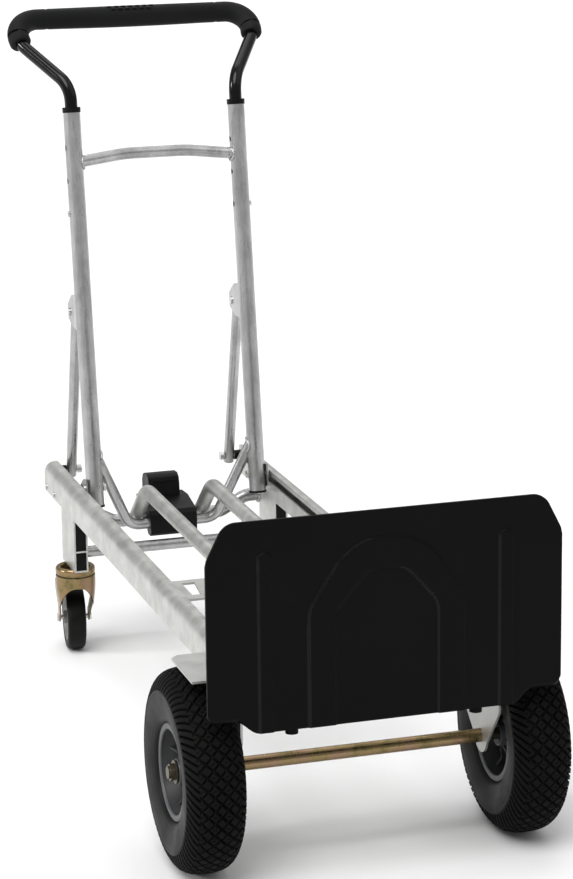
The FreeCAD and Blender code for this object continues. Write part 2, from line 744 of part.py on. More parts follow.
def ear_bracket(side):
    """Pair of ears welded behind an upright that hold the top of a brace."""
    x = d.upright_half * side
    points = [(2.0, ear_along - 27.0), (34.0, ear_along - 22.0), (ear_behind + 11.0, ear_along - 10.0),
              (ear_behind + 13.0, ear_along), (ear_behind + 11.0, ear_along + 12.0),
              (34.0, ear_along + 26.0), (2.0, ear_along + 29.0)]
    ears = []
    for start in (-d.brace_radius - 2.4, d.brace_radius + 0.4):
        plate = leaning_plate(points, x + start, x + start + 2.0, holes=[(ear_behind, ear_along, 4.0)])
        ears.append(cut(plate, leaning(rod(d.upright_radius, 90.0, 0, 0, 0, Z_AXIS), x, ear_along - 45.0)))
    return ears


def slide_bracket(side, fittings):
    """Plate on the outer side of an upright's foot that carries the sliding pin."""
    face = d.upright_half + d.upright_radius + 0.1
    points = [(-11.0, 6.0), (8.0, 4.0), (d.pin_offset + 5.0, pin_along - 9.0),
              (d.pin_offset + 9.0, pin_along), (d.pin_offset + 4.0, pin_along + 9.0), (8.0, 40.0),
              (-11.0, 40.0)]
    bolt_spot = bracket_bolt_spot
    plate = leaning_plate(points, face * side, (face + 2.5) * side,
                          holes=[(d.pin_offset, pin_along, 4.0), (0.0, bolt_spot, 3.0)])
    fittings["slide_brackets"].append(plate)
    pin_start, pin_end = face, 152.0
    head = joined(across(4.0, pin_start * side, pin_end * side, PIN_Y, PIN_Z),
                  across(8.0, 151.0 * side, 154.5 * side, PIN_Y, PIN_Z))
    fittings["slide_pins"].append(head)
    roller = cut(across(5.5, 144.0 * side, 150.7 * side, PIN_Y, PIN_Z),
                 across(4.0, 143.0 * side, 151.0 * side, PIN_Y, PIN_Z))
    fittings["slide_rollers"].append(roller)
    y, z = on_upright(bolt_spot)
    inner = d.upright_half - d.upright_radius
    shank = across(3.0, inner * side - 3.0 * side, (face + 2.5) * side, y, z)
    cap_start = (face + 2.5) * side
    cap = across(5.5, cap_start, (face + 5.2) * side, y, z)
    nut_low = inner - 4.0 if side > 0 else -inner
    nut = cut(hexagon(10.0, 4.0, nut_low, y, z), across(3.0, inner * side - 5.0 * side, inner * side, y, z))
    fittings["slide_bracket_bolts"].append(joined(shank, cap, nut))


def handle_frame_bars():
    spot = 514.0
    y, z = on_upright(spot)
    bow_back, bow_up = 12.0, 8.0
    bow = math.hypot(bow_back, bow_up)
    bar = swept([(0, 0), (48.0, 0), (d.upright_half, -bow)], [170.0], 8.7, 7.0, True, 0,
                y + bow_back, z + bow_up,
                FreeCAD.Rotation(X_AXIS, math.degrees(math.atan2(bow_up, bow_back))))
    tubes = [leaning(rod(d.upright_radius, d.upright_length, 0, 0, 0, Z_AXIS), d.upright_half * side)
             for name, side in SIDES]
    node("upper_cross_bar", cut(bar, *tubes))
    low_y, low_z = back(d.brace_bar_back), size(d.brace_bar_height)
    top_y, top_z = on_upright((325.0 - 239.5) / math.cos(math.radians(d.lean.number)))
    rise = math.hypot((top_z - low_z).number, (top_y - low_y).number)
    slant = math.degrees(math.atan2((top_z - low_z).number, (top_y - low_y).number))
    brace = swept([(0, 0), (68.0, 0), (d.upright_half, rise)], [26.0], 8.0, 6.5, True, 0, low_y, low_z,
                  FreeCAD.Rotation(X_AXIS, slant))
    tubes = [leaning(rod(d.upright_radius, d.upright_length, 0, 0, 0, Z_AXIS), d.upright_half * side)
             for name, side in SIDES]
    node("lower_u_brace", cut(brace, *tubes))


def brace_link(name, side):
    """Straight tube from the rail's rear pivot to the ears behind the upright."""
    x = d.upright_half * side
    over = 10.0
    direction = FreeCAD.Vector(0, (EAR_Y - BRACE_Y).number, (EAR_Z - d.slot_height).number)
    rotation = turned_to(direction)
    unit_y = (EAR_Y - BRACE_Y) / d.brace_length
    unit_z = (EAR_Z - d.slot_height) / d.brace_length

    def tube(radius, start, length):
        return place(doc_cylinder(radius, length), x, BRACE_Y + unit_y * start,
                     d.slot_height + unit_z * start, rotation)

    outer = tube(d.brace_radius, -over, d.brace_length + 2.0 * over)
    inner = tube(d.brace_radius - 1.8, 14.0, d.brace_length - 28.0)
    bore = 4.06
    pivots = [across(bore, x - 10.0, x + 10.0, BRACE_Y, d.slot_height),
              across(bore, x - 10.0, x + 10.0, EAR_Y, EAR_Z)]
    node("brace_" + name, cut(outer, inner, *pivots))


def doc_cylinder(radius, length):
    obj = doc.addObject("Part::Cylinder", "cylinder")
    obj.setExpression("Radius", size(radius).text)
    obj.setExpression("Height", size(length).text)
    return obj


def pivots():
    studs, spacers, pins = [], [], []
    for name, side in SIDES:
        y, z = BRACE_Y, d.slot_height
        studs.append(joined(across(4.0, 113.0 * side, 152.0 * side, y, z),
                            across(8.0, 149.3 * side, 154.0 * side, y, z),
                            across(6.5, 112.0 * side, 117.5 * side, y, z)))
        spacers.append(cut(across(7.5, 135.6 * side, 146.2 * side, y, z),
                           across(4.0, 134.0 * side, 147.0 * side, y, z)))
        inner = d.upright_half - d.brace_radius - 2.4
        outer = d.upright_half + d.brace_radius + 2.4
        pins.append(joined(across(4.0, inner * side, outer * side, EAR_Y, EAR_Z),
                           across(6.0, (inner - 2.0) * side, inner * side, EAR_Y, EAR_Z),
                           across(6.0, outer * side, (outer + 2.0) * side, EAR_Y, EAR_Z)))
    node("brace_studs", grouped(*studs))
    node("brace_spacers", grouped(*spacers))
    node("ear_pins", grouped(*pins))


# ---------------------------------------------------------------- latch pedal
def latch_pedal():
    """Moulded pedal that clips round the U brace and reaches over the rear cross member."""
    y, z = back(d.brace_bar_back), d.brace_bar_height
    base = side_plate([(y - 12.0, z - 13.0), (y - 6.0, z - 19.0), (y + 7.0, z - 19.0),
                       (y + 13.0, z - 14.0), (y + 13.0, z + 12.0), (y + 24.0, z + 16.5),
                       (y + 76.0, z + 19.0), (y + 76.0, z + 28.0), (y + 40.0, z + 30.0),
                       (y - 6.0, z + 21.0), (y - 12.0, z + 14.0)],
                      -38.0, 38.0, holes=[(y, z, d.brace_radius + 0.06)])
    step = side_plate([(y + 42.0, z + 26.0), (y + 84.0, z + 20.0), (y + 86.0, z + 48.0),
                       (y + 80.0, z + 58.0), (y + 72.0, z + 61.0), (y + 56.0, z + 62.0),
                       (y + 48.0, z + 58.0), (y + 44.0, z + 48.0)], -27.0, 27.0)
    node("latch_pedal", joined(base, step))


# ---------------------------------------------------------------- telescoping handle
def rounded_path(points, radii):
    """One wire of straight runs joined by tangent arcs."""
    edges = []
    start = points[0]
    for index in range(1, len(points) - 1):
        before = (points[index] - points[index - 1]).normalize()
        after = (points[index + 1] - points[index]).normalize()
        half = before.getAngle(after) / 2.0
        trim = radii[index - 1] * math.tan(half)
        near = points[index] - before * trim
        far = points[index] + after * trim
        inward = (after - before).normalize()
        middle = points[index] + inward * (radii[index - 1] / math.cos(half) - radii[index - 1])
        edges.append(Part.LineSegment(start, near).toShape())
        edges.append(Part.Arc(near, middle, far).toShape())
        start = far
    edges.append(Part.LineSegment(start, points[-1]).toShape())
    return Part.Wire(edges)


def tube_along(points, radii, outer, inner):
    """A round tube along a path that bends in more than one plane."""
    path = rounded_path(points, radii)
    heading = points[1] - points[0]
    skins = []
    for radius in (outer, inner):
        ring = Part.Wire(Part.makeCircle(radius, points[0], heading))
        skins.append(path.makePipeShell([ring], True, False))
    return skins[0].cut(skins[1])


def feature(label, shape):
    obj = doc.addObject("Part::Feature", label)
    obj.Shape = shape
    obj.Placement = FreeCAD.Placement()
    return obj


def handle_points():
    """Corners of the handle tube's right half, from its lower end to the middle of the grip."""
    low_y, low_z = on_upright(hole_spots[2] - 22.0)
    kink_y, kink_z = on_upright(d.upright_length + 39.0)
    half = d.upright_half.number
    return [FreeCAD.Vector(half, low_y.number, low_z.number),
            FreeCAD.Vector(half, kink_y.number, kink_z.number),
            FreeCAD.Vector(180.0, back(1158.0).number, 914.0),
            FreeCAD.Vector(186.5, back(1195.0).number, 947.0)]


def mirrored_points(points):
    return points + [FreeCAD.Vector(-p.x, p.y, p.z) for p in reversed(points)]


def telescoping_handle():
    points = handle_points()
    radii = [45.0, 60.0, 30.0, 30.0, 60.0, 45.0]
    outer = d.handle_radius.number
    tube = tube_along(mirrored_points(points), radii, outer, outer - d.handle_wall.number)
    for side in (-1.0, 1.0):
        y, z = on_upright(hole_spots[2])
        start = FreeCAD.Vector(side * d.upright_half.number, y.number, z.number)
        tube = tube.cut(Part.makeCylinder(4.1, 14.0, start, FreeCAD.Vector(side, 0, 0)))
    node("handle_tube", feature("handle_tube", tube))
    begin = points[2] + (points[1] - points[2]).normalize() * 6.0
    grip = tube_along(mirrored_points([begin, points[3]]), [34.0, 34.0], d.grip_radius.number, outer)
    node("grip", feature("grip", grip))


def snap_button(side):
    """Leaf spring inside the handle tube with a button that snaps into an upright's hole."""
    y, z = on_upright(hole_spots[2])
    start = d.upright_half + 5.0
    stem = across(4.0, start * side, (d.upright_half + 15.0) * side, y, z)
    collar = across(4.8, start * side, (start + 1.0) * side, y, z)
    leaf = leaning(block(-0.5, 0.5, -3.0, 3.0, 0.0, 20.0), (start - 0.4) * side, hole_spots[2] - 14.0)
    return joined(stem, collar, leaf)


def handle_guides():
    guides = []
    for name, side in SIDES:
        x = d.upright_half * side
        foot = hole_spots[2] - 22.0
        guides.append(cut(leaning(rod(d.upright_radius - d.upright_wall - 0.08, 10.0, 0, 0, 0, Z_AXIS),
                                  x, foot - 2.0),
                          leaning(rod(d.handle_radius - d.handle_wall - 1.5, 12.0, 0, 0, 0, Z_AXIS),
                                  x, foot - 3.0),
                          leaning(cut(rod(d.handle_radius, 9.0, 0, 0, 0, Z_AXIS),
                                      rod(d.handle_radius - d.handle_wall, 9.0, 0, 0, 0, Z_AXIS)),
                                  x, foot)))
    node("handle_guides", grouped(*guides))


# ---------------------------------------------------------------- build
toe_plate()
toe_fittings()
cross_plate()
axle_parts()
cross_member()
leg_parts()
shared = {label: [] for label in ("rail_end_caps", "leg_fillers", "caster_races", "caster_king_bolts",
                                  "foot_plugs", "collars", "ear_brackets", "slide_brackets",
                                  "slide_pins", "slide_rollers", "slide_bracket_bolts",
                                  "snap_buttons")}
for name, side in SIDES:
    rail(name, side)
    axle_bracket(name, side)
    front_wheel(name, side)
    centre_tube(name, side)
    upright(name, side)
    brace_link(name, side)
    caster(name, side, shared["caster_races"], shared["caster_king_bolts"])
    upright_fittings(side, shared["foot_plugs"], shared["collars"])
    slide_bracket(side, shared)
    shared["snap_buttons"].append(snap_button(side))
    shared["rail_end_caps"].append(rail_end_cap(side))
    shared["leg_fillers"].extend(leg(name, side))
    shared["ear_brackets"].extend(ear_bracket(side))
for label, pieces in shared.items():
    node(label, grouped(*pieces))
handle_frame_bars()
pivots()
latch_pedal()
telescoping_handle()
handle_guides()
doc.recompute()

for obj in doc.Objects:
    if "Invalid" in obj.State or "Error" in obj.State:
        raise RuntimeError("%s (%s) failed: %s" % (obj.Name, obj.Label, obj.State))
for label, obj in NODES.items():
    if obj.Shape.isNull() or not obj.Shape.isValid() or not obj.Shape.Solids:
        raise RuntimeError("bad shape: " + label)
for label, obj in NODES.items():
    obj.Shape.exportStep("parts/%s.step" % label)
print(len(NODES), "nodes")
print("pin", PIN_Y.number, PIN_Z.number, "ear", EAR_Y.number, EAR_Z.number)
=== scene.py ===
"""Looks of a convertible hand truck: treaded tyres, spoked rims, pressed toe plate, welded
aluminium tubes, zinc plated casters and a moulded latch pedal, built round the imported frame."""

import json
import math

import bmesh
import bpy
from mathutils import Matrix, Quaternion, Vector, noise


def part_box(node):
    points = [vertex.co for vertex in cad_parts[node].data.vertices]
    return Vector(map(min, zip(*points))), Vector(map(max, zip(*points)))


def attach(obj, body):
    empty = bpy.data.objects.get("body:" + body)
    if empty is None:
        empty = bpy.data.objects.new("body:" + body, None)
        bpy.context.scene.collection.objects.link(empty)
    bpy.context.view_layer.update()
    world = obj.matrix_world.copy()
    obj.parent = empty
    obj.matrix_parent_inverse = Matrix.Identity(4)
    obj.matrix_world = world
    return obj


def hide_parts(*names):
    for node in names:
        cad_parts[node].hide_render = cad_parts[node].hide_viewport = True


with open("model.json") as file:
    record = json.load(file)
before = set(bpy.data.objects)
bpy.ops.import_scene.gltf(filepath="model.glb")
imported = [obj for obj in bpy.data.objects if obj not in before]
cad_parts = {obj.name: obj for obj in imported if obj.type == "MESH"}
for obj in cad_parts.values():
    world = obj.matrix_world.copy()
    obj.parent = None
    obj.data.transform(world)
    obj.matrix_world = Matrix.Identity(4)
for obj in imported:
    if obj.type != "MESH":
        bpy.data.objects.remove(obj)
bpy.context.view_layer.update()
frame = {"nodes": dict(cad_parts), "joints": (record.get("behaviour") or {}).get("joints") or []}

MM = 0.001
X, Y, Z = Vector((1, 0, 0)), Vector((0, 1, 0)), Vector((0, 0, 1))
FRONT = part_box("toe_plate")[0].y            # the toe plate's front face
SIDES = (("left", -1.0), ("right", 1.0))
NODES = frame["nodes"]
JOINTS = {joint["name"]: joint for joint in frame["joints"]}

# Measures that several pieces share: millimetres, and degrees for angles. "Back" is the distance
# behind the toe plate's front face.
LEAN = math.radians(8.5)                    # the uprights' lean
UPRIGHT_X = 127.0
UPRIGHT_FOOT_BACK, UPRIGHT_FOOT_Z = 980.3, 239.5
BRACE_BAR_BACK, BRACE_BAR_Z = 1014.4, 193.0  # the straight run of the lower U brace
LEG_INNER_X, LEG_OUTER_X = 146.5, 167.5


def spot(x, back, z):
    """A point in metres from X, the distance behind the toe plate and Z, all in millimetres."""
    return Vector((x * MM, FRONT + back * MM, z * MM))


# ---------------------------------------------------------------- materials
def colour_of(value):
    return (value[0], value[1], value[2], 1.0)


class Finish:
    """One node material, built up from a few procedural layers."""

    def __init__(self, name, base, roughness, metallic=0.0):
        self.material = bpy.data.materials.new(name)
        self.material.use_nodes = True
        self.tree = self.material.node_tree
        self.shader = self.tree.nodes["Principled BSDF"]
        self.base = base
        self.shader.inputs["Base Color"].default_value = colour_of(base)
        self.shader.inputs["Roughness"].default_value = roughness
        self.shader.inputs["Metallic"].default_value = metallic
        self.place = self.tree.nodes.new("ShaderNodeTexCoord").outputs["Object"]
        self.height = None

    def link(self, start, end):
        self.tree.links.new(start, end)

    def stretched(self, scale):
        mapping = self.tree.nodes.new("ShaderNodeMapping")
        mapping.inputs["Scale"].default_value = scale
        self.link(self.place, mapping.inputs["Vector"])
        return mapping.outputs["Vector"]

    def noise(self, scale, detail=4.0, stretch=None, rough=0.55):
        texture = self.tree.nodes.new("ShaderNodeTexNoise")
        texture.inputs["Scale"].default_value = scale
        texture.inputs["Detail"].default_value = detail
        texture.inputs["Roughness"].default_value = rough
        self.link(self.stretched(stretch) if stretch else self.place, texture.inputs["Vector"])
        return texture.outputs["Fac"]

    def ramp(self, factor, stops):
        node = self.tree.nodes.new("ShaderNodeValToRGB")
        elements = node.color_ramp.elements
        while len(elements) < len(stops):
            elements.new(0.5)
        for element, (position, colour) in zip(elements, stops):
            element.position = position
            element.color = colour_of(colour)
        self.link(factor, node.inputs["Fac"])
        return node.outputs["Color"]

    def colours(self, factor, stops):
        self.link(self.ramp(factor, stops), self.shader.inputs["Base Color"])
        return self

    def mottle(self, factor, spread, low=0.3, high=0.7):
        """Base colour that wanders from darker to lighter."""
        dark = [channel * (1.0 - spread) for channel in self.base]
        light = [min(channel * (1.0 + spread), 1.0) for channel in self.base]
        return self.colours(factor, [(low, dark), (high, light)])

    def rough_range(self, factor, low, high):
        node = self.tree.nodes.new("ShaderNodeMapRange")
        node.inputs["From Min"].default_value = 0.3
        node.inputs["From Max"].default_value = 0.7
        node.inputs["To Min"].default_value = low
        node.inputs["To Max"].default_value = high
        self.link(factor, node.inputs["Value"])
        self.link(node.outputs["Result"], self.shader.inputs["Roughness"])
        return self

    def bump(self, factor, strength, depth):
        node = self.tree.nodes.new("ShaderNodeBump")
        node.inputs["Strength"].default_value = strength
        node.inputs["Distance"].default_value = depth
        self.link(factor, node.inputs["Height"])
        if self.height:
            self.link(self.height, node.inputs["Normal"])
        self.height = node.outputs["Normal"]
        self.link(self.height, self.shader.inputs["Normal"])
        return self

    def matt(self, level):
        self.shader.inputs["Specular IOR Level"].default_value = level
        return self

    def coat(self, weight, roughness):
        self.shader.inputs["Coat Weight"].default_value = weight
        self.shader.inputs["Coat Roughness"].default_value = roughness
        return self


def rail_aluminium():
    """Plain extrusion: pale, matt, cloudy, with fine lines along its length."""
    finish = Finish("rail_aluminium", (0.55, 0.55, 0.53), 0.42, 0.88)
    clouds = finish.noise(34.0, 9.0, rough=0.68)
    lines = finish.noise(1.0, 3.0, (900.0, 3.0, 900.0))
    finish.mottle(clouds, 0.22).rough_range(clouds, 0.36, 0.5)
    return finish.bump(lines, 0.12, 0.0002).bump(clouds, 0.1, 0.0006).material


def tube_aluminium():
    """Drawn tube: brighter and smoother, with streaks along its length."""
    finish = Finish("tube_aluminium", (0.44, 0.44, 0.44), 0.32, 0.92)
    clouds = finish.noise(40.0, 9.0, (1.0, 1.0, 0.35), 0.66)
    streaks = finish.noise(1.0, 4.0, (300.0, 300.0, 6.0))
    finish.mottle(clouds, 0.26).rough_range(streaks, 0.24, 0.4)
    return finish.bump(clouds, 0.08, 0.0005).material


def plate_aluminium():
    finish = Finish("sheet_aluminium", (0.5, 0.5, 0.485), 0.42, 0.75)
    clouds = finish.noise(34.0, 7.0)
    finish.mottle(clouds, 0.1).rough_range(clouds, 0.38, 0.58)
    return finish.bump(clouds, 0.15, 0.0004).material


def weld_aluminium():
    finish = Finish("weld_bead", (0.5, 0.5, 0.5), 0.42, 0.8)
    grains = finish.noise(700.0, 4.0)
    finish.mottle(grains, 0.25)
    return finish.bump(grains, 0.4, 0.0005).material


def powder_coat():
    """Near-black powder coat with a faint orange peel."""
    finish = Finish("black_powder_coat", (0.0022, 0.0026, 0.0022), 0.42).matt(0.07)
    peel = finish.noise(900.0, 2.0)
    wear = finish.noise(9.0, 5.0)
    finish.mottle(wear, 0.22).rough_range(wear, 0.4, 0.54)
    return finish.bump(peel, 0.1, 0.0002).material


def tyre_rubber():
    finish = Finish("tyre_rubber", (0.004, 0.004, 0.0038), 0.44).matt(0.07)
    dust = finish.noise(30.0, 6.0)
    fine = finish.noise(1400.0, 2.0)
    finish.mottle(dust, 0.35).rough_range(dust, 0.55, 0.75)
    return finish.bump(fine, 0.15, 0.0003).material


def sidewall_rubber():
    """The tyre's smooth flank, greyer with dust than the tread."""
    finish = Finish("sidewall_rubber", (0.0065, 0.0067, 0.0063), 0.42).matt(0.11)
    dust = finish.noise(22.0, 6.0)
    finish.mottle(dust, 0.3).rough_range(dust, 0.38, 0.56)
    return finish.bump(finish.noise(1200.0, 2.0), 0.12, 0.0002).material


def lit_slope_finish():
    """Painted highlight: powder coat a little lighter and glossier on the pressed relief's slopes that
    face left, towards the lights.
    """
    finish = Finish("powder_coat_painted_highlight", (0.0042, 0.0046, 0.0042), 0.36).matt(0.13)
    blotches = finish.noise(60.0, 5.0)
    finish.mottle(blotches, 0.5).rough_range(blotches, 0.26, 0.44)
    return finish.material


def caster_rubber():
    finish = Finish("caster_rubber", (0.005, 0.005, 0.0048), 0.36).matt(0.12)
    dust = finish.noise(60.0, 5.0)
    finish.mottle(dust, 0.4).rough_range(dust, 0.42, 0.62)
    return finish.bump(finish.noise(1500.0, 2.0), 0.12, 0.0002).material


def rim_grey():
    """Grey moulded rim with a fine flow pattern."""
    finish = Finish("rim_grey", (0.055, 0.057, 0.06), 0.36).matt(0.45)
    flow = finish.noise(45.0, 5.0)
    finish.mottle(flow, 0.16).rough_range(flow, 0.36, 0.52)
    return finish.bump(finish.noise(600.0, 3.0), 0.1, 0.0002).material


def rim_dish_shade_finish():
    """The rim's inner dish: the same grey plastic, painted darker than the flange as shade in the
    recess.
    """
    finish = Finish("rim_dish_painted_shade", (0.03, 0.0305, 0.032), 0.42).matt(0.32)
    flow = finish.noise(45.0, 5.0)
    finish.mottle(flow, 0.3).rough_range(flow, 0.38, 0.56)
    return finish.bump(finish.noise(600.0, 3.0), 0.1, 0.0002).material


def hub_grey():
    finish = Finish("hub_grey", (0.2, 0.2, 0.195), 0.5)
    flow = finish.noise(90.0, 5.0)
    finish.mottle(flow, 0.15)
    return finish.bump(finish.noise(800.0, 3.0), 0.12, 0.0002).material


def yellow_zinc():
    """Passivated zinc that drifts from olive to gold and pink."""
    finish = Finish("yellow_zinc", (0.36, 0.3, 0.19), 0.3, 0.9)
    drift = finish.noise(42.0, 5.0, rough=0.6)
    finish.colours(drift, [(0.28, (0.13, 0.11, 0.05)), (0.45, (0.27, 0.2, 0.09)),
                           (0.6, (0.3, 0.19, 0.12)), (0.78, (0.26, 0.24, 0.16))])
    finish.rough_range(finish.noise(60.0, 4.0), 0.2, 0.36)
    return finish.bump(finish.noise(500.0, 3.0), 0.06, 0.0002).material


def dull_steel():
    """Lightly oiled steel of the axle's ends and nuts."""
    finish = Finish("dull_steel", (0.12, 0.105, 0.075), 0.4, 0.85)
    clouds = finish.noise(120.0, 4.0)
    finish.mottle(clouds, 0.35).rough_range(clouds, 0.3, 0.5)
    return finish.bump(finish.noise(900.0, 2.0), 0.08, 0.0001).material


def bright_zinc():
    finish = Finish("bright_zinc", (0.6, 0.6, 0.59), 0.3, 0.95)
    clouds = finish.noise(90.0, 4.0)
    finish.mottle(clouds, 0.18).rough_range(clouds, 0.22, 0.4)
    return finish.bump(finish.noise(900.0, 2.0), 0.06, 0.0001).material


def black_plastic():
    """Moulded plastic with a fine spark-eroded grain."""
    finish = Finish("black_plastic", (0.003, 0.003, 0.003), 0.38).matt(0.14)
    grain = finish.noise(1600.0, 3.0)
    smear = finish.noise(24.0, 4.0)
    finish.mottle(smear, 0.3).rough_range(smear, 0.34, 0.5)
    return finish.bump(grain, 0.2, 0.0002).material


def gloss_enamel():
    finish = Finish("gloss_black_enamel", (0.0025, 0.0025, 0.0025), 0.16).matt(0.15)
    peel = finish.noise(260.0, 2.0)
    smear = finish.noise(12.0, 4.0)
    finish.mottle(smear, 0.3).rough_range(smear, 0.14, 0.24).coat(0.22, 0.06)
    return finish.bump(peel, 0.04, 0.0002).material


def grip_foam():
    """Charcoal foam sleeve with a leathery skin."""
    finish = Finish("grip_foam", (0.0045, 0.0048, 0.0048), 0.5).matt(0.16)
    skin = finish.noise(520.0, 6.0)
    blotches = finish.noise(14.0, 5.0)
    finish.mottle(blotches, 0.3).rough_range(blotches, 0.56, 0.74)
    finish.shader.inputs["Sheen Weight"].default_value = 0.03
    return finish.bump(skin, 0.3, 0.0004).material


RAIL = rail_aluminium()
TUBE = tube_aluminium()
SHEET = plate_aluminium()
WELD = weld_aluminium()
POWDER = powder_coat()
TYRE = tyre_rubber()
SIDE_RUBBER = sidewall_rubber()
LIT_SLOPES = lit_slope_finish()
CASTER_RUBBER = caster_rubber()
RIM = rim_grey()
SHADED_DISH = rim_dish_shade_finish()
HUB = hub_grey()
YELLOW = yellow_zinc()
STEEL = dull_steel()
ZINC = bright_zinc()
PLASTIC = black_plastic()
ENAMEL = gloss_enamel()
FOAM = grip_foam()

NODE_FINISH = {
    "rail_": RAIL, "leg_left": RAIL, "leg_right": RAIL, "cross_plate": SHEET,
    "centre_tube": RAIL, "rear_cross_member": TUBE, "leg_cross_tube": TUBE,
    "upright": TUBE, "upper_cross_bar": TUBE, "lower_u_brace": TUBE, "brace_": TUBE,
    "ear_brackets": TUBE, "slide_brackets": TUBE, "handle_guides": PLASTIC,
    "axle": STEEL, "axle_sleeve": YELLOW, "axle_bracket": SHEET,
    "caster_fork": YELLOW, "caster_races": YELLOW,
    "caster_axle": ZINC, "caster_king_bolts": ZINC, "caster_hub": HUB,
    "caster_tyre": CASTER_RUBBER, "toe_": POWDER, "toe_cleat_bolts": ZINC, "rail_rivets": ZINC,
    "rail_end_caps": RAIL, "leg_fillers": PLASTIC, "foot_plugs": PLASTIC, "collars": PLASTIC,
    "slide_rollers": PLASTIC, "brace_spacers": PLASTIC, "slide_pins": ZINC,
    "slide_bracket_bolts": ZINC, "brace_studs": ZINC, "ear_pins": ZINC, "snap_buttons": ZINC,
    "wheel_bushes": PLASTIC, "rim_": RIM, "tyre_": TYRE, "handle_tube": ENAMEL, "grip": FOAM,
    "latch_pedal": PLASTIC,
}
for name, obj in NODES.items():
    prefix = max((key for key in NODE_FINISH if name.startswith(key)), key=len)
    obj.data.materials.clear()
    obj.data.materials.append(NODE_FINISH[prefix])


# ---------------------------------------------------------------- mesh building
def finished(name, mesh, material, body, stands_for=(), smooth=40.0, bevel=0.0):
    """Links a mesh as a piece of the object, smooth except at its sharp edges."""
    obj = bpy.data.objects.new(name, mesh)
    bpy.context.scene.collection.objects.link(obj)
    mesh.materials.append(material)
    for polygon in mesh.polygons:
        polygon.use_smooth = True
    mesh.set_sharp_from_angle(angle=math.radians(smooth))
    if bevel:
        modifier = obj.modifiers.new("bevel", "BEVEL")
        modifier.width = bevel
        modifier.segments = 3
        modifier.limit_method = "ANGLE"
        modifier.angle_limit = math.radians(35.0)
        modifier.harden_normals = True
    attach(obj, body)
    if stands_for:
        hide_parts(*stands_for)
    return obj


def mesh_of(name, build):
    """A mesh from a function that fills a bmesh, with its faces turned outwards."""
    made = bmesh.new()
    build(made)
    bmesh.ops.recalc_face_normals(made, faces=made.faces)
    mesh = bpy.data.meshes.new(name)
    made.to_mesh(mesh)
    made.free()
    return mesh


def grid(made, rows, wrap_rows=False, wrap_columns=False):
    """Faces between rows of points; returns the vertices."""
    verts = [[made.verts.new(point) for point in row] for row in rows]
    height, width = len(verts), len(verts[0])
    for i in range(height if wrap_rows else height - 1):
        for j in range(width if wrap_columns else width - 1):
            here, above = verts[i], verts[(i + 1) % height]
            made.faces.new((here[j], here[(j + 1) % width], above[(j + 1) % width], above[j]))
    return verts


def frame_of(axis, up=Z):
    """Two directions across an axis."""
    axis = axis.normalized()
    if abs(axis.dot(up)) > 0.99:
        up = Y
    side = up.cross(axis).normalized()
    return side, axis.cross(side)


def lathe(made, section, centre, axis, steps=96):
    """A closed half section of (radius, distance along the axis) in millimetres, turned once."""
    side, up = frame_of(axis)
    rows = []
    for step in range(steps):
        angle = 2.0 * math.pi * step / steps
        out = side * math.cos(angle) + up * math.sin(angle)
        rows.append([centre + out * (radius * MM) + axis * (along * MM) for radius, along in section])
    grid(made, rows, True, True)


def arc(centre, radius, start, end, steps):
    """Points of a circular arc in a plane, with angles in degrees."""
    points = []
    for step in range(steps + 1):
        angle = math.radians(start + (end - start) * step / steps)
        points.append((centre[0] + radius * math.cos(angle), centre[1] + radius * math.sin(angle)))
    return points


def rounded(points, radii, steps=5):
    """An outline with its corners rounded; one radius per corner, in millimetres."""
    result = []
    count = len(points)
    for index, (point, radius) in enumerate(zip(points, radii)):
        here = Vector(point)
        before = Vector(points[index - 1]) - here
        after = Vector(points[(index + 1) % count]) - here
        if radius <= 0.0:
            result.append(tuple(here))
            continue
        half = before.angle(after) / 2.0
        reach = min(radius / math.tan(half), before.length * 0.49, after.length * 0.49)
        start, end = here + before.normalized() * reach, here + after.normalized() * reach
        for step in range(steps + 1):
            t = step / steps
            result.append(tuple(start * (1 - t) ** 2 + here * (2 * t * (1 - t)) + end * t ** 2))
    return result


def slab(made, outline, low, high, place):
    """An outline extruded between two levels; place turns (u, v, level) into a point."""
    bottom = [made.verts.new(place(u, v, low)) for u, v in outline]
    top = [made.verts.new(place(u, v, high)) for u, v in outline]
    made.faces.new(bottom)
    made.faces.new(top)
    for index in range(len(outline)):
        after = (index + 1) % len(outline)
        made.faces.new((bottom[index], bottom[after], top[after], top[index]))


def bead(made, path, radius, closed=True, sides=8, ripple=0.16, pitch=2.6):
    """A weld bead: a rippled rope of metal along a path of points."""
    count = len(path)
    travel = 0.0
    rows = []
    for index, point in enumerate(path):
        before = path[index - 1] if closed or index else point
        after = path[(index + 1) % count] if closed or index < count - 1 else point
        across, up = frame_of((after - before).normalized())
        travel += (point - path[index - 1]).length if index else 0.0
        swell = radius * (1.0 + ripple * math.sin(travel / (pitch * MM) * 2.0 * math.pi))
        swell *= 1.0 + 0.25 * noise.noise(point * 180.0)
        if not closed and index in (0, count - 1):
            swell *= 0.35
        rows.append([point + (across * math.cos(a) + up * math.sin(a)) * swell * MM
                     for a in (2.0 * math.pi * k / sides for k in range(sides))])
    grid(made, rows, closed, True)
    if not closed:
        for row in (rows[0], rows[-1]):
            made.faces.new([made.verts.new(point) for point in row])


def saddle(point, main, branch, main_radius, branch_radius, steps=64):
    """The line where one round tube meets the side of another."""
    main, branch = main.normalized(), branch.normalized()
    across = main.cross(branch).normalized()
    path = []
    for step in range(steps):
        angle = 2.0 * math.pi * step / steps
        side = branch_radius * math.sin(angle)
        reach = math.sqrt(max(main_radius ** 2 - side ** 2, 0.0))
        path.append(point + main * (branch_radius * math.cos(angle) * MM) + across * (side * MM)
                    + branch * (reach * MM))
    return path


def smoothstep(low, high, value):
    t = min(max((value - low) / (high - low), 0.0), 1.0)
    return t * t * (3.0 - 2.0 * t)


